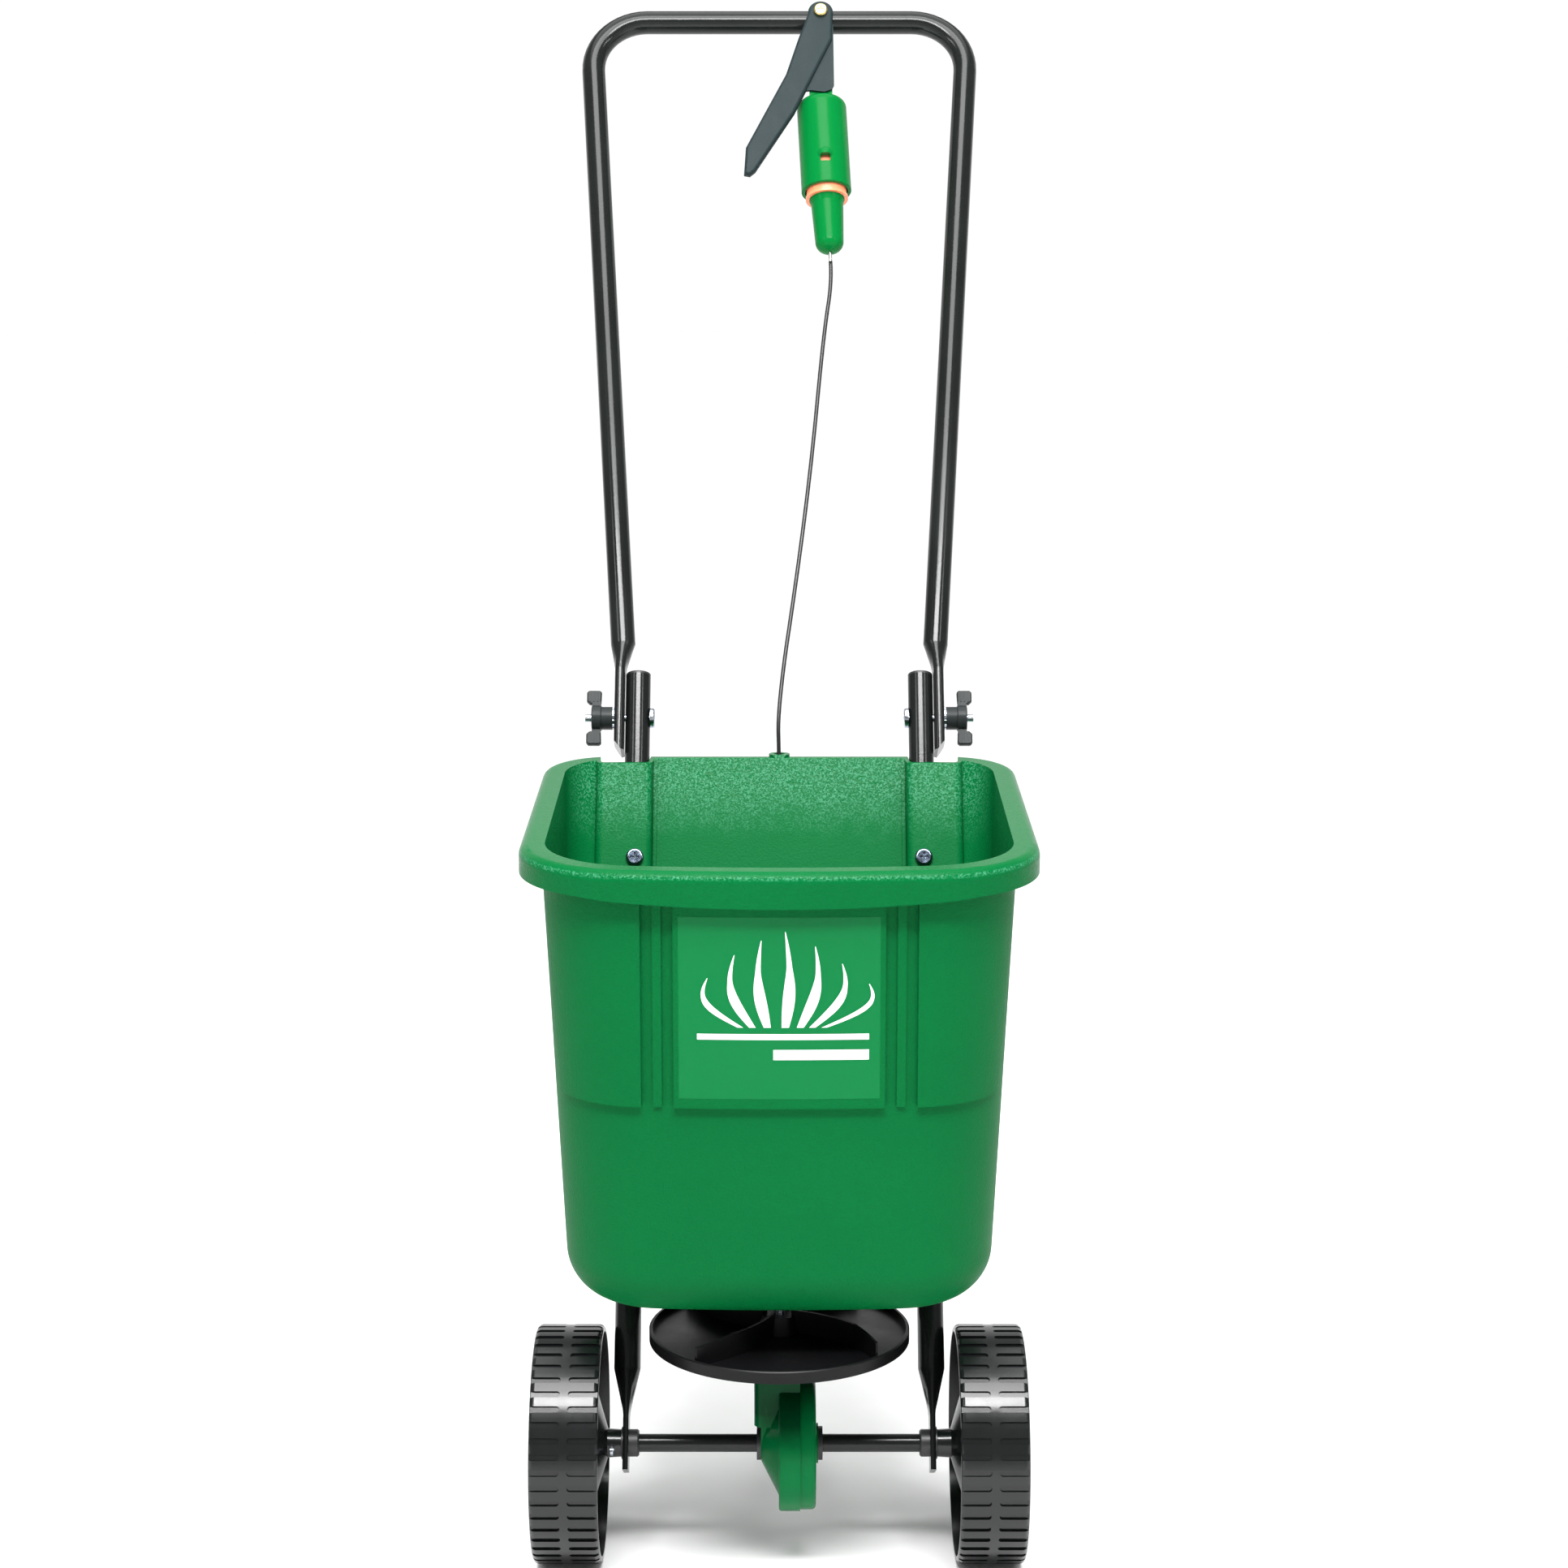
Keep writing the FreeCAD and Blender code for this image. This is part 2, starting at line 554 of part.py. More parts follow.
def wheel_section(bore):
    """Half outline of the wheel, x across and z away from the axle."""
    inner = WHEEL_INNER_X
    outer = WHEEL_OUTER_X
    edge = WHEEL_RADIUS - TREAD_EDGE_DEPTH
    rim_in = WHEEL_RADIUS - 6.0
    hub = [V(outer - 4, 0, bore), V(HUB_INNER_X, 0, bore), V(HUB_INNER_X, 0, HUB_RADIUS),
           V(inner - 3, 0, HUB_RADIUS + 0.6), V(inner + 5, 0, 36), V(inner + 16, 0, 58),
           V(inner + 20, 0, rim_in), V(inner, 0, rim_in + 1.0), V(inner, 0, edge)]
    web = [V(outer, 0, edge), V(outer, 0, rim_in + 1.0), V(inner + 24, 0, rim_in), V(inner + 20, 0, 58),
           V(inner + 10, 0, 36), V(inner + 8, 0, 20), V(outer - 4, 0, 19), V(outer - 4, 0, bore)]
    inner_top = V(inner + TREAD_SHOULDER, 0, WHEEL_RADIUS)
    outer_top = V(outer - TREAD_SHOULDER, 0, WHEEL_RADIUS)
    shoulder_in = TREAD_SHOULDER * 0.3
    shoulder_z = WHEEL_RADIUS - TREAD_EDGE_DEPTH * 0.48
    inner_shoulder = Part.Arc(hub[-1], V(inner + shoulder_in, 0, shoulder_z), inner_top)
    outer_shoulder = Part.Arc(outer_top, V(outer - shoulder_in, 0, shoulder_z), web[0])
    edges = [Part.LineSegment(a, b).toShape() for a, b in zip(hub, hub[1:])]
    edges.append(inner_shoulder.toShape())
    edges.append(Part.LineSegment(inner_top, outer_top).toShape())
    edges.append(outer_shoulder.toShape())
    edges += [Part.LineSegment(a, b).toShape() for a, b in zip(web, web[1:])]
    return Part.Face(Part.Wire(edges))


def tread_slots():
    """Two rows of slots, round at the plain band in the middle and open through the shoulders."""
    middle = (WHEEL_INNER_X + WHEEL_OUTER_X) / 2
    half = TREAD_SLOT_WIDTH / 2
    floor = WHEEL_RADIUS - TREAD_SLOT_DEPTH
    slots = []
    for side in SIDES:
        start = middle + side * TREAD_BAND / 2
        low_x, high_x = sorted((start + side * half, start + side * 40))
        slot = box((low_x, high_x), (-half, half), (floor, WHEEL_RADIUS + 3))
        slot = fuse([slot, rod(V(start + side * half, 0, floor), Z_AXIS, half, TREAD_SLOT_DEPTH + 3)])
        slots += [turned(slot, V(0, 0, 0), X_AXIS, k * 360 / TREAD_SLOTS) for k in range(TREAD_SLOTS)]
    return slots


def wheel(side, bore):
    """Moulded wheel: slotted tread, dished outer web with ribs, conical inner web and hub."""
    a = WHEEL_INNER_X
    rim_in = WHEEL_RADIUS - 6.0
    body = wheel_section(bore).revolve(V(0, 0, 0), X_AXIS, 360)
    rib_side = -WHEEL_RIB_THICK / 2
    rib = prism([V(a + 10, rib_side, 18), V(a + 40, rib_side, 18), V(a + 34, rib_side, 56),
                 V(a + 34, rib_side, rim_in + 0.5), V(a + 22, rib_side, rim_in + 0.5),
                 V(a + 19, rib_side, 58)], V(0, WHEEL_RIB_THICK, 0))
    ribs = [turned(rib, V(0, 0, 0), X_AXIS, k * 360 / WHEEL_RIBS) for k in range(WHEEL_RIBS)]
    whole = body.multiFuse(ribs).cut(tread_slots())
    whole = whole.cut(rod(V(a - 40, 0, 0), X_AXIS, bore, 120))
    if side < 0:
        whole = mirrored(whole).cut(rod(V(DRIVE_PIN_X, -20, 0), Y_AXIS, DRIVE_PIN_RADIUS, 40))
    whole.translate(V(0, 0, WHEEL_RADIUS))
    return whole


def drive_pin():
    """Cotter that keys the drive wheel's hub to the axle."""
    pin = rod(V(DRIVE_PIN_X, -12.5, WHEEL_RADIUS), Y_AXIS, DRIVE_PIN_RADIUS, 25)
    eye = ring(V(DRIVE_PIN_X - 1.0, -15.0, WHEEL_RADIUS), X_AXIS, 3.2, 1.7, 2.0)
    return pin.fuse(eye)


def hub_caps():
    caps = []
    for side in SIDES:
        start = V(side * (WHEEL_OUTER_X - 3.6), 0, WHEEL_RADIUS)
        out = X_AXIS * side
        cap = rod(start, out, 12.5, 8.0)
        cap = cap.makeFillet(4.0, [e for e in cap.Edges if (e.CenterOfMass - start).dot(out) > 7])
        caps.append(cap.cut(rod(start, out, AXLE_RADIUS, AXLE_HALF - WHEEL_OUTER_X + 3.6)))
    return group(caps)


def axle_bushes():
    """Flanged bushes held in the flat ends of the tubes."""
    bushes = []
    for side in SIDES:
        out = X_AXIS * side
        inner_x = side * (TUBE_X - FLAT_HALF_THICK - 7.2)
        collar = rod(V(inner_x, 0, WHEEL_RADIUS), out, 9.6, 7.2)
        collar = collar.makeChamfer(1.0, [e for e in collar.Edges if abs(e.CenterOfMass.x - inner_x) < 0.1])
        barrel = rod(V(side * (TUBE_X - FLAT_HALF_THICK), 0, WHEEL_RADIUS), out, AXLE_BUSH_BARREL, 4.0)
        flange = rod(V(side * (TUBE_X + FLAT_HALF_THICK), 0, WHEEL_RADIUS), out, 11.2, 1.1)
        bush = fuse([collar, barrel, flange])
        bushes.append(bush.cut(rod(V(side * 80, 0, WHEEL_RADIUS), out, AXLE_RADIUS + RUNNING_GAP, 50)))
    return group(bushes)


# ---------------------------------------------------------------- gearbox
DRUM_RADIUS = 47.0
DRUM_SPLIT_X = 14.7
COVER_X = 25.8
GEAR_TEETH = 40
PINION_TEETH = 10
GEAR_TIP_X = 8.2
GEAR_ROOT_X = 11.0
PINION_TIP = 10.6
PINION_ROOT = 7.4
PINION_LOW = WHEEL_RADIUS + 31.5
PINION_HIGH = WHEEL_RADIUS + 41.0
SHAFT_RADIUS = 4.0
CASE_TOP = 156.0
GEARBOX_BUSH = 8.0
EAR_ANGLES = (30, 75, 330)    # lugs that hold the cover, round the axle from straight back


def gearbox_ear(start_x, end_x, radius, angle):
    """A round lug, or the hole through it, at one of the places round the axle."""
    ear = rod(V(start_x, DRUM_RADIUS + 2.5, 0), X_AXIS, radius, end_x - start_x)
    ear = turned(ear, V(0, 0, 0), X_AXIS, angle)
    ear.translate(V(0, 0, WHEEL_RADIUS))
    return ear


def gearbox_case():
    drum = rod(V(-0.3, 0, WHEEL_RADIUS), X_AXIS, DRUM_RADIUS, DRUM_SPLIT_X + 0.3)
    drum = drum.makeFillet(2.0, [e for e in drum.Edges if e.CenterOfMass.x < 0])
    tower = box((-17.7, DRUM_SPLIT_X), (-17, 17), (101, CASE_TOP))
    tower = rounded(tower, 6.0, lambda edge: edge.BoundBox.XMax < -17.6
                    and not is_straight_along(edge, Y_AXIS))
    cone = Part.makeCone(12.0, 36.0, 12.7, V(-13.0, 0, WHEEL_RADIUS), X_AXIS)
    neck = box((-13.0, 0), (-12, 12), (WHEEL_RADIUS, 102))
    collar = rod(V(-13.0, 0, WHEEL_RADIUS), X_AXIS, 12.0, 13.0)
    ears = []
    for angle in EAR_ANGLES:
        ears.append(gearbox_ear(4.0, DRUM_SPLIT_X, 5.0, angle))
    case = fuse([drum, tower, cone, neck, collar] + ears)
    cavity = rod(V(2.7, 0, WHEEL_RADIUS), X_AXIS, DRUM_RADIUS - 2.8, 30)
    pocket = rod(V(0, 0, PINION_LOW - 1.5), Z_AXIS, 12.2, PINION_HIGH - PINION_LOW + 3.0)
    case = case.cut(cavity).cut(pocket)
    case = case.cut(rod(V(0, 0, 103), Z_AXIS, SHAFT_RADIUS + RUNNING_GAP, 80))
    keep_top = box((-17.7, DRUM_SPLIT_X), (-12, 12), (PINION_HIGH + 1.5, CASE_TOP))
    keep_top = keep_top.cut(rod(V(0, 0, 103), Z_AXIS, SHAFT_RADIUS + RUNNING_GAP, 80))
    seat = box((-9, 9), (-9, 9), (101, PINION_LOW - 1.5)).common(rod(V(0, 0, 100), Z_AXIS, 8.4, 30))
    seat = seat.cut(rod(V(0, 0, 103), Z_AXIS, SHAFT_RADIUS + RUNNING_GAP, 80))
    seat = seat.cut(box((6.0, 30), (-20, 20), (90, 130)))
    case = case.fuse(keep_top).fuse(seat)
    case = case.cut(rod(V(-40, 0, WHEEL_RADIUS), X_AXIS, GEARBOX_BUSH, 60))
    return cut_ear_holes(case, 1.7)


def cut_ear_holes(case, radius):
    for angle in EAR_ANGLES:
        case = case.cut(gearbox_ear(-5.0, 55.0, radius, angle))
    return case


def gearbox_cover():
    drum = rod(V(DRUM_SPLIT_X, 0, WHEEL_RADIUS), X_AXIS, DRUM_RADIUS - 1.2, COVER_X - DRUM_SPLIT_X)
    drum = drum.makeFillet(3.0, [e for e in drum.Edges if e.CenterOfMass.x > COVER_X - 0.1])
    boss = rod(V(COVER_X - 3, 0, WHEEL_RADIUS), X_AXIS, 14.0, 4.7)
    lug = box((DRUM_SPLIT_X, COVER_X - 2), (30, DRUM_RADIUS + 12),
              (WHEEL_RADIUS - 16, WHEEL_RADIUS + 4))
    ears = []
    for angle in EAR_ANGLES:
        ears.append(gearbox_ear(DRUM_SPLIT_X, DRUM_SPLIT_X + 5.0, 5.0, angle))
    cover = fuse([drum, boss, lug] + ears)
    cover = cover.cut(rod(V(DRUM_SPLIT_X, 0, WHEEL_RADIUS), X_AXIS, DRUM_RADIUS - 2.8,
                          COVER_X - DRUM_SPLIT_X - 2.7))
    cover = cover.cut(rod(V(0, 0, WHEEL_RADIUS), X_AXIS, GEARBOX_BUSH, 60))
    for y, z in STAND_BOLTS:
        cover = cover.cut(rod(V(0, y, z), X_AXIS, 2.6, 60))
    return cut_ear_holes(cover, 2.1)


def gearbox_screws():
    screws = []
    for angle in EAR_ANGLES:
        seat = V(DRUM_SPLIT_X + 5.0, DRUM_RADIUS + 2.5, 0)
        screw = pan_head_screw(seat, X_AXIS, 3.6, 2.4, 1.65, 14)
        screw = turned(screw, V(0, 0, 0), X_AXIS, angle)
        screw.translate(V(0, 0, WHEEL_RADIUS))
        screws.append(screw)
    return group(screws)


def gearbox_bushes():
    bore = AXLE_RADIUS + RUNNING_GAP
    left = fuse([rod(V(-16.0, 0, WHEEL_RADIUS), X_AXIS, 11.8, 3.0),
                 rod(V(-13.0, 0, WHEEL_RADIUS), X_AXIS, GEARBOX_BUSH, 10.0)])
    right = fuse([rod(V(COVER_X + 1.7, 0, WHEEL_RADIUS), X_AXIS, 11.8, 3.2),
                  rod(V(COVER_X - 3.0, 0, WHEEL_RADIUS), X_AXIS, GEARBOX_BUSH, 4.7)])
    cutter = rod(V(-40, 0, WHEEL_RADIUS), X_AXIS, bore, 100)
    return group([left.cut(cutter), right.cut(cutter)])


def crown_gear():
    """Face gear on the axle: forty radial teeth that point towards the spinner shaft."""
    plate = rod(V(GEAR_ROOT_X, 0, 0), X_AXIS, 42.5, 4.0)
    hub = rod(V(GEAR_ROOT_X, 0, 0), X_AXIS, 13.0, 11.0)
    teeth = []
    for k in range(GEAR_TEETH):
        tooth = prism([V(GEAR_ROOT_X + 0.5, -1.0, 31), V(GEAR_TIP_X, -0.55, 31),
                       V(GEAR_TIP_X, 0.55, 31), V(GEAR_ROOT_X + 0.5, 1.0, 31)], V(0, 0, 11.0))
        teeth.append(turned(tooth, V(0, 0, 0), X_AXIS, (k + 0.5) * 360 / GEAR_TEETH))
    gear = plate.multiFuse([hub] + teeth)
    gear = gear.cut(rod(V(0, 0, 0), X_AXIS, AXLE_RADIUS, 60))
    gear.translate(V(0, 0, WHEEL_RADIUS))
    return gear


def spinner_pinion():
    height = PINION_HIGH - PINION_LOW
    body = rod(V(0, 0, PINION_LOW), Z_AXIS, PINION_ROOT, height)
    teeth = []
    for k in range(PINION_TEETH):
        corners = [V(PINION_ROOT - 1, -1.35, PINION_LOW), V(PINION_TIP, -0.7, PINION_LOW),
                   V(PINION_TIP, 0.7, PINION_LOW), V(PINION_ROOT - 1, 1.35, PINION_LOW)]
        tooth = prism(corners, V(0, 0, height))
        teeth.append(turned(tooth, V(0, 0, 0), Z_AXIS, k * 360 / PINION_TEETH))
    pinion = body.multiFuse(teeth)
    return pinion.cut(rod(V(0, 0, 90), Z_AXIS, SHAFT_RADIUS, 60))


# ---------------------------------------------------------------- spinner, agitator, shutter
DISC_LOW = 161.4
DISC_HIGH = 170.0
SHAFT_LOW = 104.5
SHAFT_HIGH = 226.0
AGITATOR_Z = 216.0


def spinner_shaft():
    shaft = rod(V(0, 0, SHAFT_LOW), Z_AXIS, SHAFT_RADIUS, SHAFT_HIGH - SHAFT_LOW)
    shaft = shaft.makeChamfer(0.8, [e for e in shaft.Edges if e.BoundBox.ZMin > SHAFT_HIGH - 1])
    shaft = shaft.cut(rod(V(-10, 0, AGITATOR_Z), X_AXIS, 1.55, 20))
    return shaft.cut(rod(V(-10, 0, 174), X_AXIS, 1.3, 20))


def spinner_disc():
    """Dished disc with four curved throwing vanes."""
    half = [V(SHAFT_RADIUS, 0, 159), V(12, 0, 159), V(13, 0, 164), V(60, 0, 164), V(86, 0, DISC_LOW),
            V(SPINNER_RADIUS, 0, DISC_LOW), V(SPINNER_RADIUS, 0, DISC_HIGH - 0.8),
            V(SPINNER_RADIUS - 0.8, 0, DISC_HIGH), V(SPINNER_RADIUS - 2.4, 0, DISC_HIGH),
            V(SPINNER_RADIUS - 2.8, 0, 165.2), V(60, 0, 166.4),
            V(14, 0, 166.4), V(12, 0, 179), V(SHAFT_RADIUS, 0, 179)]
    disc = Part.Face(Part.makePolygon(half + [half[0]])).revolve(V(0, 0, 0), Z_AXIS, 360)
    vanes = []
    for k in range(4):
        outer_arc = Part.Arc(V(9, 3, 165), V(50, 13, 165), V(88, 6, 165)).toShape()
        inner_arc = Part.Arc(V(88, 8, 165), V(50, 15, 165), V(9, 5, 165)).toShape()
        outline = Part.Wire([outer_arc, Part.LineSegment(V(88, 6, 165), V(88, 8, 165)).toShape(),
                             inner_arc, Part.LineSegment(V(9, 5, 165), V(9, 3, 165)).toShape()])
        vane = Part.Face(outline).extrude(V(0, 0, 18))
        top_cut = prism([V(60, -40, 183.1), V(100, -40, 176), V(100, -40, 200), V(60, -40, 200)],
                        V(0, 80, 0))
        vanes.append(turned(vane.cut(top_cut), V(0, 0, 0), Z_AXIS, 45 + k * 90))
    disc = disc.multiFuse(vanes)
    disc = disc.cut(rod(V(0, 0, 150), Z_AXIS, SHAFT_RADIUS, 60))
    return disc.cut(rod(V(-30, 0, 174), X_AXIS, 1.3, 60))


def disc_pin():
    return rod(V(-13, 0, 174), X_AXIS, 1.3, 26)


def agitator():
    """Wire pin through the top of the shaft with its ends bent down."""
    path = bent_path([V(-27, 0, AGITATOR_Z - 12), V(-24, 0, AGITATOR_Z), V(24, 0, AGITATOR_Z),
                      V(27, 0, AGITATOR_Z + 12)], 4.0)
    return swept(path, 1.5)


def floor_bush():
    low = BODY_FLOOR_Z
    flange = rod(V(0, 0, low + HOPPER_WALL), Z_AXIS, 13.0, 2.5)
    flange = flange.makeChamfer(1.0, [e for e in flange.Edges if e.BoundBox.ZMin > low + HOPPER_WALL + 2.4])
    bush = flange.fuse(rod(V(0, 0, low), Z_AXIS, 8.0, HOPPER_WALL))
    return bush.cut(rod(V(0, 0, low - 5), Z_AXIS, SHAFT_RADIUS + RUNNING_GAP, 30))


SHUTTER_TOP = BODY_FLOOR_Z - 0.3
SHUTTER_THICK = 1.8
SHUTTER_HALF_WIDTH = 36.0
SHUTTER_FRONT_Y = -36.0
SHUTTER_TRAVEL = 24.0
TAB_Y = 70.0
WIRE_Z = 200.0
WIRE_RADIUS = 0.9
WIRE_BORE = 1.15              # inside of the sheath's open end, where the bare wire slides in
STOP_FRONT_Y = 105.5
STOP_BACK_Y = 113.0


def shutter_plate():
    """Plate whose front edge uncovers the outlets when the wire pulls it back."""
    low = SHUTTER_TOP - SHUTTER_THICK
    width = (-SHUTTER_HALF_WIDTH, SHUTTER_HALF_WIDTH)
    plate = box(width, (SHUTTER_FRONT_Y, 40), (low, SHUTTER_TOP))
    plate = rounded(plate, 8, lambda edge: is_straight_along(edge, Z_AXIS))
    tongue = box((-9, 9), (30, TAB_Y), (low, SHUTTER_TOP))
    tab = box((-9, 9), (TAB_Y - 2.0, TAB_Y), (low, WIRE_Z + 6))
    plate = fuse([plate, tongue, tab])
    slot = fuse([rod(V(0, 0, 180), Z_AXIS, 7.0, 20), rod(V(0, -SHUTTER_TRAVEL, 180), Z_AXIS, 7.0, 20),
                 box((-7, 7), (-SHUTTER_TRAVEL, 0), (180, 200))])
    plate = plate.cut(slot)
    return plate.cut(rod(V(0, 60, WIRE_Z), Y_AXIS, 1.0, 20))


def shutter_guides():
    rails = []
    top = BODY_FLOOR_Z
    low = SHUTTER_TOP - SHUTTER_THICK
    front = -20.0
    for side in SIDES:
        inner = side * (SHUTTER_HALF_WIDTH + 0.3)
        outer = side * (SHUTTER_HALF_WIDTH + 6)
        lip = side * (SHUTTER_HALF_WIDTH - 5)
        outline = [V(inner, front, top), V(outer, front, top), V(outer, front, low - 2.3),
                   V(lip, front, low - 2.3), V(lip, front, low - 0.3), V(inner, front, low - 0.3)]
        rails.append(prism(outline, V(0, 56, 0)))
    return group(rails)


def shutter_wire():
    """Bare end of the pull wire, from its crimped bead on the tab to the end of the sheath."""
    wire = rod(V(0, TAB_Y - 6, WIRE_Z), Y_AXIS, WIRE_RADIUS, STOP_FRONT_Y - TAB_Y + 5.6)
    bead = rod(V(0, TAB_Y - 6.5, WIRE_Z), Y_AXIS, 2.4, 4.5)
    return wire.fuse(bead)


def shutter_spring():
    return helix_spring(V(0, TAB_Y + 0.8, WIRE_Z), Y_AXIS, 4.2, 0.6, 5.5, STOP_FRONT_Y - TAB_Y - 1.6)


def cable_bracket():
    """Stop on the back wall that holds the end of the cable's sheath."""
    wall = BACK_WALL_OFFSET + BACK_PANEL_OUT
    low = leaned_point(0, wall, 165)
    high = leaned_point(0, wall, 205)
    outline = [V(-5, low.y, low.z), V(-5, high.y, high.z), V(-5, STOP_BACK_Y, 226),
               V(-5, STOP_BACK_Y, 188.5), V(-5, STOP_FRONT_Y, 188.5), V(-5, STOP_FRONT_Y, 208)]
    arm = prism(outline, V(10, 0, 0))
    flange = leaned(box((-16, 16), (wall, wall + 2.5), (165, 205)))
    bracket = fuse([arm, flange])
    bracket = bracket.cut(rod(V(0, 95, WIRE_Z), Y_AXIS, 1.2, 40))
    bracket = bracket.cut(rod(V(0, STOP_BACK_Y - 4, WIRE_Z), Y_AXIS, CABLE_RADIUS, 20))
    for side in SIDES:
        bracket = bracket.cut(leaned(rod(V(side * 11, 0, 185), Y_AXIS, 1.6, 30)))
    return bracket


def bracket_screws():
    seat_y = BACK_WALL_OFFSET + BACK_PANEL_OUT + 2.5
    return group([leaned(pan_head_screw(V(side * 11, seat_y, 185), Y_AXIS, 3.2, 2.2, 1.5, 2.5))
                  for side in SIDES])


# ---------------------------------------------------------------- rear stand
STAND_BOLTS = ((53.0, WHEEL_RADIUS), (53.0, WHEEL_RADIUS - 11.0))   # y, z of each
STAND_X = (DRUM_SPLIT_X - 6.0, DRUM_SPLIT_X)
STAND_FOOT_Y = 214.0


def rear_stand():
    """Flat bar bolted beside the gearbox, with a widened foot behind the wheels."""
    top = WHEEL_RADIUS + 7
    outline = [V(STAND_X[0], 47, top), V(STAND_X[0], 47, WHEEL_RADIUS - 18),
               V(STAND_X[0], STAND_FOOT_Y - 14, 6), V(STAND_X[0], STAND_FOOT_Y + 14, 6),
               V(STAND_X[0], STAND_FOOT_Y + 14, 14), V(STAND_X[0], 58, top)]
    bar = prism(outline, V(STAND_X[1] - STAND_X[0], 0, 0))
    sole = box((1, 24), (STAND_FOOT_Y - 14, STAND_FOOT_Y + 14), (6, 11))
    stand = fuse([bar, sole])
    for y, z in STAND_BOLTS:
        stand = stand.cut(rod(V(-20, y, z), X_AXIS, 2.6, 60))
    return stand


def stand_foot():
    pad = box((0, 25), (STAND_FOOT_Y - 15, STAND_FOOT_Y + 15), (0, 6))
    return rounded(pad, 3.0, lambda edge: is_straight_along(edge, Z_AXIS))


def stand_bolts():
    bolts = []
    for y, z in STAND_BOLTS:
        seat = V(COVER_X - 2, y, z)
        bolts.append(pan_head_screw(seat, X_AXIS, 4.6, 3.0, 2.5, COVER_X - 2 - STAND_X[0] + 5))
    nuts = [hexagon(V(STAND_X[0], y, z), X_AXIS * -1, 8, 3.6, 2.5) for y, z in STAND_BOLTS]
    return group(bolts), group(nuts)


# ---------------------------------------------------------------- hand control
TRIGGER_X = 34.3
TRIGGER_FRONT = -18.0
ARM_FRONT = -12.4
ARM_BACK = -TUBE_RADIUS - 0.2
SLEEVE_TOP = 1087.0
SLEEVE_RADIUS = 20.5
SLEEVE_BORE = 17.6
SLEEVE_LENGTH = 84.0
SLEEVE_X = 34.8
SLEEVE_Y = 2.5
SLEEVE_TILT = 2.7
DIAL_RADIUS = 16.4


def control_frame(shape):
    """Places a shape drawn hanging down -z from the origin onto the tilted axis of the sleeve."""
    moved = turned(shape, V(0, 0, 0), Y_AXIS, -SLEEVE_TILT)
    moved.translate(V(SLEEVE_X, SLEEVE_Y, SLEEVE_TOP))
    return moved


def control_body():
    """Green moulding: a flat arm bolted to the bar and an open sleeve with a window."""
    sleeve = rod(V(0, 0, -SLEEVE_LENGTH), Z_AXIS, SLEEVE_RADIUS, SLEEVE_LENGTH)
    sleeve = sleeve.makeFillet(7.0, [e for e in sleeve.Edges if e.BoundBox.ZMin > -0.1])
    sleeve = sleeve.makeFillet(0.8, [e for e in sleeve.Edges if e.BoundBox.ZMax < -SLEEVE_LENGTH + 0.1])
    hood = Part.makeSphere(7.2, V(0, -SLEEVE_RADIUS + 4.6, -58.5))
    sleeve = sleeve.fuse(hood)
    bore = rod(V(0, 0, -SLEEVE_LENGTH - 1), Z_AXIS, SLEEVE_BORE, SLEEVE_LENGTH - 21)
    throat = rod(V(0, 0, -SLEEVE_LENGTH - 1), Z_AXIS, 6.0, SLEEVE_LENGTH - 5)
    window = box((-4.0, 4.0), (-40, 0), (-65.5, -59.5))
    window = rounded(window, 1.2, lambda edge: is_straight_along(edge, Y_AXIS))
    sleeve = control_frame(sleeve.cut(bore).cut(throat).cut(window))
    arm_width = (TRIGGER_X - 9.5, TRIGGER_X + 9.5)
    arm = fuse([box(arm_width, (ARM_FRONT, ARM_BACK), (SLEEVE_TOP - 12, BAR_AT)),
                rod(V(TRIGGER_X, ARM_FRONT, BAR_AT), Y_AXIS, 9.5, ARM_BACK - ARM_FRONT)])
    web_x = TRIGGER_X - 2
    stiffener = prism([V(web_x, ARM_BACK, BAR_AT - 13), V(web_x, ARM_BACK, SLEEVE_TOP - 8),
                       V(web_x, 8, SLEEVE_TOP - 8), V(web_x, 6, SLEEVE_TOP + 8)], V(4, 0, 0))
    hollow = control_frame(rod(V(0, 0, -SLEEVE_LENGTH - 1), Z_AXIS, SLEEVE_BORE, SLEEVE_LENGTH - 21))
    arm = fuse([arm, stiffener]).cut(hollow)
    arm = arm.cut(control_frame(rod(V(0, 0, -SLEEVE_LENGTH - 1), Z_AXIS, 6.0, SLEEVE_LENGTH - 5)))
    body = sleeve.fuse(arm)
    body = body.cut(rod(V(TRIGGER_X, -40, BAR_AT), Y_AXIS, TRIGGER_BOLT_RADIUS, 60))
    return leaned(body.removeSplitter())


def rate_drum():
    """Orange drum that turns inside the sleeve; its rim shows below the sleeve."""
    top = -24.0
    drum = rod(V(0, 0, -SLEEVE_LENGTH - 7), Z_AXIS, DIAL_RADIUS, SLEEVE_LENGTH + 7 + top)
    drum = drum.makeChamfer(1.0, [e for e in drum.Edges if abs(e.CenterOfMass.z - top) < 0.1])
    lip = ring(V(0, 0, -SLEEVE_LENGTH - 7), Z_AXIS, DIAL_RADIUS + 0.9, DIAL_RADIUS - 2.4, 2.5)
    drum = drum.cut(rod(V(0, 0, -SLEEVE_LENGTH - 8), Z_AXIS, DIAL_RADIUS - 2.4, SLEEVE_LENGTH + 20))
    return leaned(control_frame(drum.fuse(lip)))


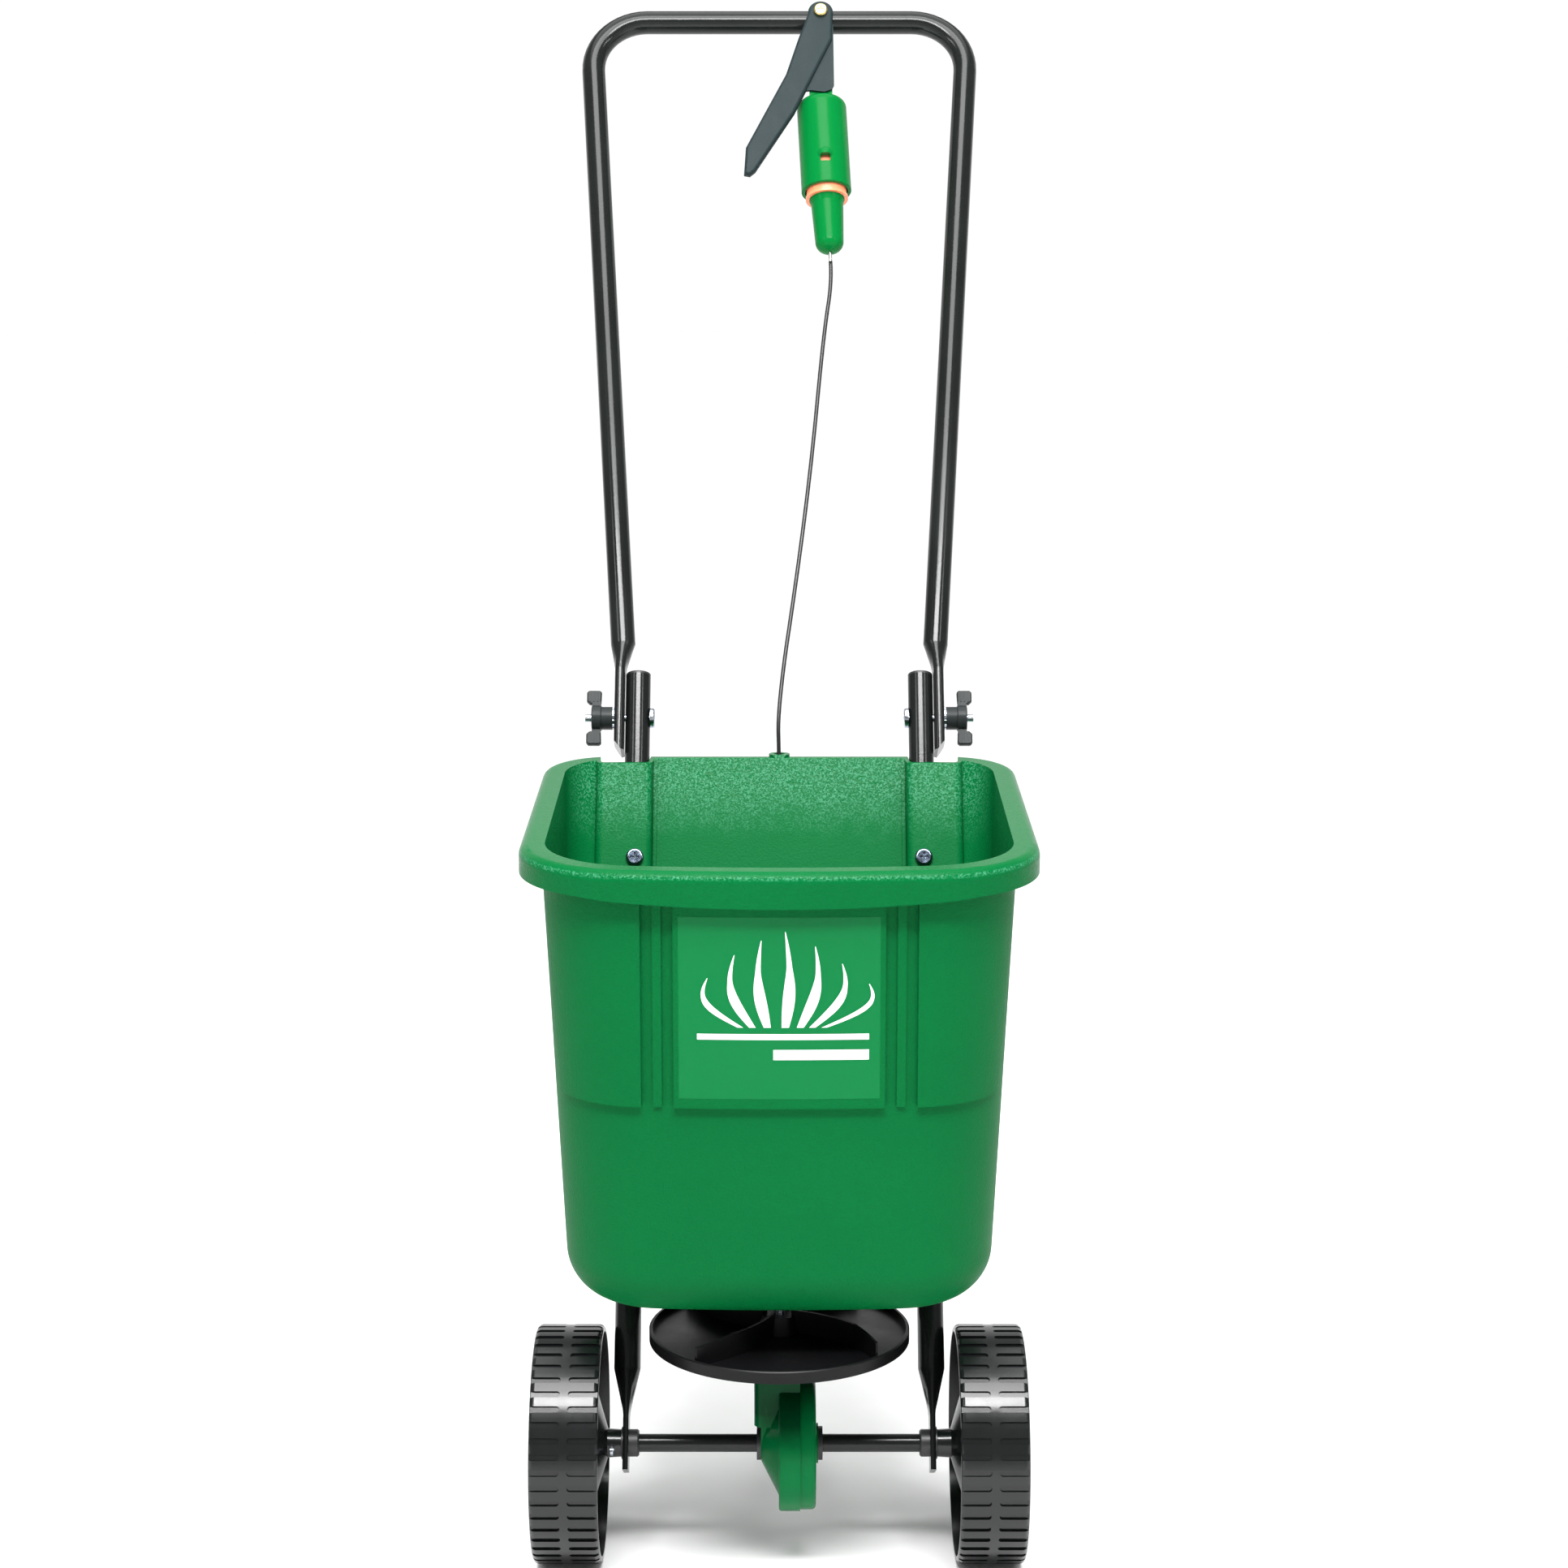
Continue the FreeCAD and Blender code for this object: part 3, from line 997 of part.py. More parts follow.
def dial_nose():
    """Knob below the drum that the fingers turn; the cable's ferrule leaves its tip."""
    top = -SLEEVE_LENGTH + 12
    tip = -SLEEVE_LENGTH - 55
    half = [V(1.7, 0, top), V(DIAL_RADIUS - 2.4, 0, top), V(DIAL_RADIUS - 2.4, 0, -SLEEVE_LENGTH - 7),
            V(14.6, 0, -SLEEVE_LENGTH - 7), V(13.2, 0, -SLEEVE_LENGTH - 12), V(11.6, 0, tip + 9)]
    curve = Part.Arc(V(11.6, 0, tip + 9), V(8.8, 0, tip + 2.6), V(1.7, 0, tip)).toShape()
    edges = [Part.LineSegment(a, b).toShape() for a, b in zip(half, half[1:])]
    edges += [curve, Part.LineSegment(V(1.7, 0, tip), half[0]).toShape()]
    nose = Part.Face(Part.Wire(edges)).revolve(V(0, 0, 0), Z_AXIS, 360)
    return leaned(control_frame(nose))


FERRULE_LENGTH = 8.5


def ferrule_end():
    """Where the sheath takes over from the ferrule, in the handle frame."""
    depth = SLEEVE_LENGTH + 55 + FERRULE_LENGTH
    tilt = math.radians(SLEEVE_TILT)
    return V(SLEEVE_X + depth * math.sin(tilt), SLEEVE_Y, SLEEVE_TOP - depth * math.cos(tilt))


def cable_ferrule():
    low = -SLEEVE_LENGTH - 55 - FERRULE_LENGTH
    ferrule = rod(V(0, 0, low), Z_AXIS, 1.35, 60)
    return leaned(control_frame(ferrule))


def trigger():
    """Bent channel-section lever with a flat web on its right, pivoted on the bolt."""
    front = TRIGGER_FRONT
    back = ARM_FRONT - 0.4
    spine = [V(TRIGGER_X - 10, front, BAR_AT), V(TRIGGER_X - 18.5, front, BAR_AT - 25),
             V(5.5, front, BAR_AT - 59), V(-27.4, front, BAR_AT - 127.5), V(-28.8, front, BAR_AT - 152),
             V(-24.0, front, BAR_AT - 153), V(-19.5, front, BAR_AT - 149), V(12.4, front, BAR_AT - 95),
             V(TRIGGER_X + 9.4, front, BAR_AT - 26), V(TRIGGER_X + 10, front, BAR_AT)]
    lever = prism(spine, V(0, back - front, 0))
    lever = lever.fuse(rod(V(TRIGGER_X, front, BAR_AT), Y_AXIS, 10.4, back - front)).removeSplitter()
    lever = rounded(lever, 2.6, lambda edge: edge.BoundBox.YMax < front + 0.01)
    hollow_points = [V(TRIGGER_X - 13, 0, BAR_AT - 22), V(8.6, 0, BAR_AT - 60), V(-24.0, 0, BAR_AT - 128),
                     V(-25.0, 0, BAR_AT - 146), V(-21.0, 0, BAR_AT - 147), V(9.0, 0, BAR_AT - 96),
                     V(TRIGGER_X + 4.0, 0, BAR_AT - 28)]
    hollow_points = [V(p.x, front + 2.6, p.z) for p in hollow_points]
    lever = lever.cut(prism(hollow_points, V(0, 40, 0)))
    web_front = back - 2.2
    web = prism([V(TRIGGER_X + 10.4, web_front, BAR_AT - 10), V(TRIGGER_X + 10.9, web_front, BAR_AT - 68),
                 V(TRIGGER_X + 9.0, web_front, BAR_AT - 72), V(TRIGGER_X + 3, web_front, BAR_AT - 74.5),
                 V(TRIGGER_X - 8, web_front, BAR_AT - 73), V(TRIGGER_X - 22, web_front, BAR_AT - 75),
                 V(4, web_front, BAR_AT - 66), V(TRIGGER_X - 8, web_front, BAR_AT - 20)], V(0, 2.2, 0))
    lever = lever.fuse(web)
    bolt_hole = rod(V(TRIGGER_X, -60, BAR_AT), Y_AXIS, TRIGGER_BOLT_RADIUS + RUNNING_GAP, 80)
    return leaned(lever.cut(bolt_hole).removeSplitter())


def trigger_bolt():
    seat_y = TRIGGER_FRONT - 0.3
    bolt = pan_head_screw(V(TRIGGER_X, seat_y, BAR_AT), Y_AXIS * -1, 5.6, 3.8, TRIGGER_BOLT_RADIUS,
                          TUBE_RADIUS + 6.5 - seat_y)
    return leaned(bolt)


def trigger_nut():
    return leaned(hexagon(V(TRIGGER_X, TUBE_RADIUS, BAR_AT), Y_AXIS, 10, 5, TRIGGER_BOLT_RADIUS))


# ---------------------------------------------------------------- cable
def bend_radii(points):
    """Centre line radius of each bend of bent_path(points), rounded to 0.1 mm."""
    radii = []
    for before, corner, after in zip(points, points[1:], points[2:]):
        turn = (corner - before).getAngle(after - corner)
        shorter = min((corner - before).Length, (after - corner).Length)
        radii.append(round(0.45 * shorter / math.tan(turn / 2), 1))
    return radii


def upper_cable():
    """Sheath from the ferrule down to the fold axis, with a round end on that axis."""
    end = ferrule_end()
    tilt = math.radians(SLEEVE_TILT)
    points = [end, end + V(18 * math.sin(tilt), 0, -18 * math.cos(tilt)), V(37.2, 2.4, 884),
              V(32.6, 2.2, 839), V(28.2, 2.0, 790), V(22.9, 1.7, 739), V(16.8, 1.3, 688),
              V(9.9, 0.9, 636), V(3.4, 0.4, 590), V(-1, 0, FOLD_AT)]
    print("upper cable", bend_radii(points))
    sheath = swept(bent_path(points), CABLE_RADIUS)
    return leaned(fuse([sheath, Part.makeSphere(CABLE_RADIUS - 0.1, points[-1])]))


def lower_cable():
    """Sheath from the fold axis through the boss on the rim, down the back and forward to its stop."""
    start = leaned_point(-1, CABLE_RADIUS, FOLD_AT - CABLE_RADIUS - 0.2)
    sheath_end = STOP_BACK_Y - 4
    points = [start, V(-0.4, CABLE_BOSS_Y + 0.4, RIM_BACK[1] + 6), V(0, CABLE_BOSS_Y, RIM_BACK[1] - 18),
              V(0, 235, 489), V(0, 216, 450), V(0, 199, 408), V(0, 186, 362), V(0, 179, 316),
              V(0, 177, 278), V(0, 174, 246), V(0, 165, 216), V(0, 146, WIRE_Z), V(0, sheath_end, WIRE_Z)]
    print("lower cable", bend_radii(points))
    sheath = swept(bent_path(points), CABLE_RADIUS)
    return sheath.cut(rod(V(0, sheath_end - 1, WIRE_Z), Y_AXIS, WIRE_BORE, SHUTTER_TRAVEL + 1.5))


# ---------------------------------------------------------------- build and export
def build():
    nodes["hopper"] = hopper()
    nodes["hopper_screws"], nodes["hopper_nuts"] = hopper_fasteners()
    nodes["lower_tube_left"] = lower_tube(-1)
    nodes["lower_tube_right"] = lower_tube(1)
    nodes["tube_plugs"] = tube_plugs()
    nodes["upper_handle"] = upper_handle()
    nodes["fold_bolts"] = fold_bolts()
    nodes["fold_washers"] = fold_washers()
    nodes["wing_nut_left"] = wing_nut(-1)
    nodes["wing_nut_right"] = wing_nut(1)
    nodes["axle"] = axle()
    nodes["axle_bushes"] = axle_bushes()
    nodes["drive_wheel"] = wheel(-1, AXLE_RADIUS)
    nodes["free_wheel"] = wheel(1, AXLE_RADIUS + RUNNING_GAP)
    nodes["drive_pin"] = drive_pin()
    nodes["hub_caps"] = hub_caps()
    nodes["gearbox_case"] = gearbox_case()
    nodes["gearbox_cover"] = gearbox_cover()
    nodes["gearbox_screws"] = gearbox_screws()
    nodes["gearbox_bushes"] = gearbox_bushes()
    nodes["crown_gear"] = crown_gear()
    nodes["spinner_pinion"] = spinner_pinion()
    nodes["spinner_shaft"] = spinner_shaft()
    nodes["spinner_disc"] = spinner_disc()
    nodes["disc_pin"] = disc_pin()
    nodes["agitator"] = agitator()
    nodes["floor_bush"] = floor_bush()
    nodes["shutter_plate"] = shutter_plate()
    nodes["shutter_guides"] = shutter_guides()
    nodes["shutter_wire"] = shutter_wire()
    nodes["shutter_spring"] = shutter_spring()
    nodes["cable_bracket"] = cable_bracket()
    nodes["bracket_screws"] = bracket_screws()
    nodes["rear_stand"] = rear_stand()
    nodes["stand_foot"] = stand_foot()
    nodes["stand_bolts"], nodes["stand_nuts"] = stand_bolts()
    nodes["control_body"] = control_body()
    nodes["rate_drum"] = rate_drum()
    nodes["dial_nose"] = dial_nose()
    nodes["cable_ferrule"] = cable_ferrule()
    nodes["trigger"] = trigger()
    nodes["trigger_bolt"] = trigger_bolt()
    nodes["trigger_nut"] = trigger_nut()
    nodes["upper_cable"] = upper_cable()
    nodes["lower_cable"] = lower_cable()


def export():
    os.makedirs("parts", exist_ok=True)
    whole = FreeCAD.BoundBox()
    for name, shape in nodes.items():
        shape = shape.copy()
        shape.translate(V(0, FORE_AFT_SHIFT, 0))
        limits = shape.BoundBox
        whole.add(limits)
        print(f"{name}: {len(shape.Solids)} solids, valid {shape.isValid()}, volume {shape.Volume:.0f}")
        shape.exportStep(f"parts/{name}.step")
    print(f"overall x {whole.XMin:.2f}..{whole.XMax:.2f} y {whole.YMin:.2f}..{whole.YMax:.2f} "
          f"z {whole.ZMin:.2f}..{whole.ZMax:.2f}")


build()
export()
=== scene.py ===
"""Looks of a walk-behind rotary spreader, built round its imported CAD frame.  Units are metres:
x runs across the machine, y away from the camera towards the person who pushes, z up.
"""

import math

import bmesh
import bpy
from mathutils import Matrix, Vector


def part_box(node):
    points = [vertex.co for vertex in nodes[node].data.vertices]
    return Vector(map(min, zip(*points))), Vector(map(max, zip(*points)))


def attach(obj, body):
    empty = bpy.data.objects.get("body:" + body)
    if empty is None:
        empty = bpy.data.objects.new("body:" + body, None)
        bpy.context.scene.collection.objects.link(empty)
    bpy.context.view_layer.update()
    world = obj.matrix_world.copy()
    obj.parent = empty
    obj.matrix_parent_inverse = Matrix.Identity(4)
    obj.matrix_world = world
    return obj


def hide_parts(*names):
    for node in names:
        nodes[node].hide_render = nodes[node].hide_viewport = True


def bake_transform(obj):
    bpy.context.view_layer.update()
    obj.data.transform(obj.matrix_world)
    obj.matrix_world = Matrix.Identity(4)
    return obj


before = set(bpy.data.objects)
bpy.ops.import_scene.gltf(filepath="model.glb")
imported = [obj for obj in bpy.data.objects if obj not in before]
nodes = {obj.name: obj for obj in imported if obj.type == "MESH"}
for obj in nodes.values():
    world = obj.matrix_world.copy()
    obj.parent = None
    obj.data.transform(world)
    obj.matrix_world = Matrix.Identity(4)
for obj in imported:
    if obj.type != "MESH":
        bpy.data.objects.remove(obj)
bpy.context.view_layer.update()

# ---------------------------------------------------------------- places taken from the frame
AXLE_LOW, AXLE_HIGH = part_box("axle")
AXLE = (AXLE_LOW + AXLE_HIGH) / 2
HOPPER_LOW, HOPPER_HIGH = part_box("hopper")
RIM_Z = HOPPER_HIGH.z
LEAN = math.radians(27.5)              # lean of the tubes back from the vertical


def on_tubes(x, y, along):
    """A point given across the tubes (x, y) and along them from the axle, in the row frame."""
    return Vector((x, AXLE.y + y * math.cos(LEAN) + along * math.sin(LEAN),
                   AXLE.z - y * math.sin(LEAN) + along * math.cos(LEAN)))


# ---------------------------------------------------------------- camera
CAMERA_PLACE = Vector((0.0, AXLE.y - 2.069, 0.913))
CAMERA_PITCH_DOWN = math.radians(8.4)
LENS_MM = 69.9
SENSOR_MM = 36.0
SHIFT = (0.003, -0.0445)
FAR_CLIP = 200.0


def make_camera():
    data = bpy.data.cameras.new("photo_camera")
    data.lens = LENS_MM
    data.sensor_width = SENSOR_MM
    data.shift_x, data.shift_y = SHIFT
    data.clip_end = FAR_CLIP
    camera = bpy.data.objects.new("photo_camera", data)
    camera.location = CAMERA_PLACE
    camera.rotation_euler = (math.pi / 2 - CAMERA_PITCH_DOWN, 0.0, 0.0)
    bpy.context.scene.collection.objects.link(camera)
    bpy.context.scene.camera = camera


# ---------------------------------------------------------------- studio
ROOM_IN_FRONT = 0.34            # brightness of the room on the camera's side of the object
ROOM_BEHIND = 1.02              # and behind it
ROOM_FADES = (                  # direction's component, where the room is dim, where it is bright
    ("Y", 0.76, 0.955),
    ("Z", 0.13, 0.015),
)
CEILING_GLOW = 2.5
CEILING_SPREAD = math.radians(70)
LIGHTS_AIM = Vector((0.0, AXLE.y, 0.40))
AREA_LIGHTS = (                 # name, place with y from the axle, width and height, watts
    ("front_softbox", (0.0, -1.34, 2.40), (1.5, 0.36), 64),
    ("strip_left", (-1.75, -1.05, 1.9), (0.22, 0.9), 8),
    ("strip_right", (1.75, -1.05, 1.9), (0.22, 0.9), 8),
    ("overhead", (0.0, -0.88, 2.9), (1.6, 1.15), 54),
    ("back_left", (-1.6, 2.0, 1.6), (0.9, 1.5), 3),
    ("back_right", (1.6, 2.0, 1.6), (0.9, 1.5), 3),
)
FLOOR_RADIUS = 40.0
FLOOR_TONES = (0.88, 0.90)


def make_studio():
    scene = bpy.context.scene
    for name, (x, behind_axle, z), size, watts in AREA_LIGHTS:
        data = bpy.data.lights.new(name, "AREA")
        data.shape = "RECTANGLE"
        data.size, data.size_y = size
        data.energy = watts
        light = bpy.data.objects.new(name, data)
        light.location = (x, AXLE.y + behind_axle, z)
        aim = LIGHTS_AIM - light.location
        light.rotation_euler = aim.to_track_quat("-Z", "Y").to_euler()
        scene.collection.objects.link(light)
    ceiling = bpy.data.lights.new("ceiling", "SUN")
    ceiling.energy = CEILING_GLOW
    ceiling.angle = CEILING_SPREAD
    scene.collection.objects.link(bpy.data.objects.new("ceiling", ceiling))


def make_room():
    """A plain light room: bright along the horizon and behind the object, dimmer elsewhere."""
    world = bpy.data.worlds.new("studio")
    world.use_nodes = True
    tree = world.node_tree
    direction = tree.nodes.new("ShaderNodeTexCoord").outputs["Generated"]
    parts = tree.nodes.new("ShaderNodeSeparateXYZ")
    tree.links.new(direction, parts.inputs["Vector"])
    brighter = tree.nodes.new("ShaderNodeMath")
    brighter.operation = "MAXIMUM"
    for (axis, dim_at, bright_at), input_socket in zip(ROOM_FADES, brighter.inputs):
        fade = tree.nodes.new("ShaderNodeMapRange")
        fade.interpolation_type = "SMOOTHSTEP"
        fade.inputs["From Min"].default_value = dim_at
        fade.inputs["From Max"].default_value = bright_at
        fade.inputs["To Min"].default_value = ROOM_IN_FRONT
        fade.inputs["To Max"].default_value = ROOM_BEHIND
        tree.links.new(parts.outputs[axis], fade.inputs["Value"])
        tree.links.new(fade.outputs["Result"], input_socket)
    background = tree.nodes["Background"]
    background.inputs["Color"].default_value = (1.0, 1.0, 1.0, 1.0)
    tree.links.new(brighter.outputs["Value"], background.inputs["Strength"])
    bpy.context.scene.world = world
    bpy.context.scene.view_settings.view_transform = "Standard"


def make_floor():
    mesh = bpy.data.meshes.new("floor")
    work = bmesh.new()
    bmesh.ops.create_circle(work, cap_ends=True, segments=96, radius=FLOOR_RADIUS)
    work.to_mesh(mesh)
    work.free()
    floor = bpy.data.objects.new("floor", mesh)
    bpy.context.scene.collection.objects.link(floor)
    shader = Shader("studio_floor")
    grain = shader.noise(26.0, detail=4.0)
    shader.colour(shader.ramp(grain, list(zip((0.3, 0.7), FLOOR_TONES))))
    shader.value("Roughness", 0.9)
    shader.give(floor)


# ---------------------------------------------------------------- procedural materials
class Shader:
    """A material round one Principled shader, with short helpers for its nodes."""

    def __init__(self, name):
        self.material = bpy.data.materials.new(name)
        self.material.use_nodes = True
        self.tree = self.material.node_tree
        self.principled = self.tree.nodes["Principled BSDF"]
        self.object_coords = self.tree.nodes.new("ShaderNodeTexCoord").outputs["Object"]

    def fill(self, socket, value):
        """Gives a node's input a number, a colour or another node's output."""
        if isinstance(value, bpy.types.NodeSocket):
            self.tree.links.new(value, socket)
        else:
            socket.default_value = value

    def node(self, kind, **inputs):
        made = self.tree.nodes.new(kind)
        for name, value in inputs.items():
            self.fill(made.inputs[name.replace("_", " ")], value)
        return made

    def link(self, output, name):
        self.tree.links.new(output, self.principled.inputs[name])

    def value(self, name, value):
        self.principled.inputs[name].default_value = value

    def stretched(self, scale):
        mapping = self.node("ShaderNodeMapping", Vector=self.object_coords)
        mapping.inputs["Scale"].default_value = scale
        return mapping.outputs["Vector"]

    def noise(self, scale, detail=3.0, roughness=0.5, coords=None):
        made = self.node("ShaderNodeTexNoise", Vector=coords or self.object_coords, Scale=scale,
                         Detail=detail, Roughness=roughness)
        return made.outputs["Fac"]

    def cells(self, scale):
        made = self.node("ShaderNodeTexVoronoi", Vector=self.object_coords, Scale=scale)
        return made.outputs["Distance"]

    def ramp(self, factor, stops):
        """stops: (place, grey) or (place, (r, g, b)) pairs."""
        made = self.node("ShaderNodeValToRGB", Fac=factor)
        elements = made.color_ramp.elements
        while len(elements) < len(stops):
            elements.new(0.5)
        for element, (place, tone) in zip(elements, stops):
            element.position = place
            element.color = (*tone, 1.0) if isinstance(tone, tuple) else (tone, tone, tone, 1.0)
        return made.outputs["Color"]

    def mix(self, factor, first, second):
        """Blends two colours by the factor."""
        made = self.tree.nodes.new("ShaderNodeMix")
        made.data_type = "RGBA"
        self.fill(made.inputs[0], factor)
        self.fill(made.inputs[6], first)
        self.fill(made.inputs[7], second)
        return made.outputs[2]

    def maths(self, operation, first, second):
        made = self.tree.nodes.new("ShaderNodeMath")
        made.operation = operation
        self.fill(made.inputs[0], first)
        self.fill(made.inputs[1], second)
        return made.outputs["Value"]

    def ragged_height(self, scale, detail, depth):
        """Height over the floor, roughened by noise so that what depends on it has no clean edge."""
        height = self.node("ShaderNodeSeparateXYZ", Vector=self.object_coords).outputs["Z"]
        return self.maths("ADD", height, self.maths("MULTIPLY", self.noise(scale, detail=detail), depth))

    def fade(self, value, start, end, low=0.0, high=1.0):
        """Goes from low, where the value is start, to high, where it is end."""
        made = self.node("ShaderNodeMapRange", Value=value, From_Min=start, From_Max=end,
                         To_Min=low, To_Max=high)
        return made.outputs["Result"]

    def colour(self, output):
        self.link(output, "Base Color")

    def tint(self, share, rgb):
        """Mixes a share of another colour into the base colour made so far."""
        plain = self.principled.inputs["Base Color"].links[0].from_socket
        self.colour(self.mix(share, plain, (*rgb, 1.0)))

    def bump(self, height, distance, strength=1.0, under=None):
        made = self.node("ShaderNodeBump", Height=height, Distance=distance, Strength=strength)
        if under is not None:
            self.tree.links.new(under, made.inputs["Normal"])
        self.link(made.outputs["Normal"], "Normal")
        return made.outputs["Normal"]

    def give(self, *objects):
        for piece in objects:
            if not piece.material_slots:
                piece.data.materials.append(self.material)
            for slot in piece.material_slots:
                slot.link = "OBJECT"
                slot.material = self.material


def toned(rgb, share):
    return tuple(min(1.0, channel * share) for channel in rgb)


def moulded(name, rgb, roughness, grain_size=0.0009, grain_depth=0.00003, mottle=0.06, specular=0.5):
    """Injection-moulded plastic: fine spark-eroded grain, faint flow mottling and handling marks."""
    shader = Shader(name)
    flow = shader.noise(9.0, detail=5.0, roughness=0.6)
    tone = shader.ramp(flow, [(0.32, toned(rgb, 1 - mottle)), (0.68, toned(rgb, 1 + mottle))])
    fine = shader.noise(1.0 / grain_size, detail=2.0, roughness=0.6)
    speck = shader.ramp(fine, [(0.35, toned(rgb, 1 - mottle)), (0.65, toned(rgb, 1 + mottle))])
    shader.colour(shader.mix(0.45, tone, speck))
    rub = shader.noise(34.0, detail=6.0, roughness=0.65, coords=shader.stretched((1.0, 1.0, 0.25)))
    wear_and_sheen = [(0.35, roughness * 0.88), (0.7, min(1.0, roughness * 1.14))]
    shader.link(shader.ramp(rub, wear_and_sheen), "Roughness")
    waves = shader.noise(60.0, detail=2.0)
    under = shader.bump(waves, 0.0002, strength=0.25)
    shader.bump(fine, grain_depth, under=under)
    shader.value("Specular IOR Level", specular)
    return shader


def hopper_plastic():
    """The moulding of the hopper: glossy near the rim, scoured duller below it, and with a painted
    sheen of pale specks where the inside slopes up near the rim."""
    shader = moulded("hopper_plastic", HOPPER_GREEN, 0.30, grain_size=0.0016, grain_depth=0.0004,
                     specular=0.05)
    ragged = shader.ragged_height(70.0, 5.0, 0.03)
    shader.link(shader.fade(ragged, RIM_Z - 0.040, RIM_Z - 0.005, 0.50, 0.17), "Roughness")
    near_rim = shader.fade(ragged, RIM_Z - 0.045, RIM_Z - 0.010)
    normal = shader.tree.nodes.new("ShaderNodeNewGeometry").outputs["Normal"]
    upward = shader.node("ShaderNodeSeparateXYZ", Vector=normal).outputs["Z"]
    on_slope = shader.ramp(upward, [(0.15, 0.0), (0.38, 1.0), (0.52, 1.0), (0.68, 0.0)])
    # Painted sheen: pale specks mixed into the base colour, where the inside slopes up near the rim,
    # stand in for a highlight.
    fine = shader.noise(620.0, detail=3.0, roughness=0.7)
    dust_and_sheen_specks = shader.ramp(fine, [(0.47, 0.0), (0.59, 0.48)])
    wear_and_sheen = shader.maths("MULTIPLY", near_rim, on_slope)
    shader.tint(shader.maths("MULTIPLY", wear_and_sheen, dust_and_sheen_specks), SHEEN_GREEN)
    return shader


def gearbox_plastic():
    """The gearbox case, with a painted shadow of the disc darkening its top round the shaft."""
    shader = moulded("gearbox_case_plastic", GEARBOX_GREEN, 0.26, grain_depth=0.00001, specular=0.07)
    ragged = shader.ragged_height(90.0, 4.0, 0.012)
    # Painted shade: the top of the case is tinted towards a near-black green to stand in for the disc's
    # shadow.
    shader.tint(shader.fade(ragged, AXLE.z + 0.018, AXLE.z + 0.034, high=0.72), PAINTED_SHADE_GREEN)
    return shader


def powder_coated(name, rgb, roughness):
    """Baked coating on steel tube: slight orange peel, dust specks and a clear gloss."""
    shader = Shader(name)
    peel = shader.noise(520.0, detail=2.0)
    drift = shader.noise(14.0, detail=4.0)
    tone = shader.ramp(drift, [(0.3, toned(rgb, 0.8)), (0.7, toned(rgb, 1.25))])
    dust_and_sheen_specks = shader.cells(1400.0)
    shader.colour(tone)
    shader.tint(shader.ramp(dust_and_sheen_specks, [(0.0, 0.30), (0.16, 0.0)]), (0.10, 0.11, 0.10))
    shader.link(shader.ramp(drift, [(0.3, roughness * 0.85), (0.7, roughness * 1.25)]), "Roughness")
    shader.bump(peel, 0.00006, strength=0.6)
    shader.value("Specular IOR Level", 0.24)
    shader.value("Coat Weight", 0.08)
    shader.value("Coat Roughness", 0.08)
    return shader


def plated(name, rgb, roughness, brushing=(1.0, 1.0, 1.0)):
    """Zinc-plated steel: uneven sheen with faint drawing lines."""
    shader = Shader(name)
    cloud = shader.noise(240.0, detail=5.0, roughness=0.6, coords=shader.stretched(brushing))
    shader.colour(shader.ramp(cloud, [(0.3, toned(rgb, 0.72)), (0.7, rgb)]))
    shader.link(shader.ramp(cloud, [(0.3, roughness * 0.7), (0.7, roughness * 1.5)]), "Roughness")
    shader.value("Metallic", 1.0)
    shader.bump(cloud, 0.00004, strength=0.5)
    return shader


HOPPER_GREEN = (0.0004, 0.108, 0.026)
CONTROL_GREEN = (0.0004, 0.142, 0.025)
GEARBOX_GREEN = (0.0004, 0.126, 0.032)
SHEEN_GREEN = (0.085, 0.34, 0.20)
PAINTED_SHADE_GREEN = (0.0004, 0.014, 0.006)
ORANGE = (0.93, 0.27, 0.13)


def make_materials():
    return {
        "hopper": hopper_plastic(),
        "gearbox_case": gearbox_plastic(),
        "gearbox": moulded("gearbox_plastic", GEARBOX_GREEN, 0.26, grain_depth=0.00001,
                           specular=0.07),
        "control": moulded("control_plastic", CONTROL_GREEN, 0.22, grain_depth=0.00001,
                           specular=0.07),
        "orange": moulded("dial_plastic", ORANGE, 0.34, grain_depth=0.00001),
        "tube": powder_coated("tube_coating", (0.007, 0.0085, 0.008), 0.17),
        "axle": powder_coated("axle_coating", (0.010, 0.011, 0.011), 0.24),
        "wheel": moulded("wheel_plastic", (0.005, 0.006, 0.006), 0.22, grain_depth=0.00002,
                         mottle=0.22, specular=0.42),
        "disc": moulded("disc_plastic", (0.0035, 0.0035, 0.0040), 0.36, mottle=0.2, specular=0.16),
        "black": moulded("black_plastic", (0.018, 0.018, 0.019), 0.42, mottle=0.2),
        "trigger": moulded("trigger_plastic", (0.013, 0.023, 0.025), 0.50, grain_size=0.0008,
                           grain_depth=0.00008, mottle=0.18, specular=0.12),
        "wing": moulded("wing_plastic", (0.018, 0.022, 0.022), 0.38, mottle=0.15,
                        specular=0.16),
        "steel": plated("zinc_plate", (0.50, 0.54, 0.60), 0.20),
        "screw": plated("blue_zinc_plate", (0.15, 0.19, 0.25), 0.10),
        "yellow": plated("yellow_zinc_plate", (0.86, 0.68, 0.28), 0.24),
        "wire": plated("drawn_wire", (0.72, 0.71, 0.69), 0.30, brushing=(1.0, 1.0, 0.05)),
        "nylon": moulded("nylon", (0.78, 0.76, 0.70), 0.45, mottle=0.05),
        "label": moulded("label_film", (0.0004, 0.140, 0.035), 0.24, grain_depth=0.00001,
                         mottle=0.03, specular=0.10),
        "print": moulded("white_print", (0.86, 0.86, 0.85), 0.42, grain_depth=0.00001,
                         mottle=0.02),
        "rubber": moulded("foot_rubber", (0.016, 0.016, 0.016), 0.78, grain_depth=0.0001,
                          mottle=0.25),
        "sheath": moulded("cable_sheath", (0.010, 0.010, 0.011), 0.34, grain_depth=0.00002,
                          mottle=0.2),
    }


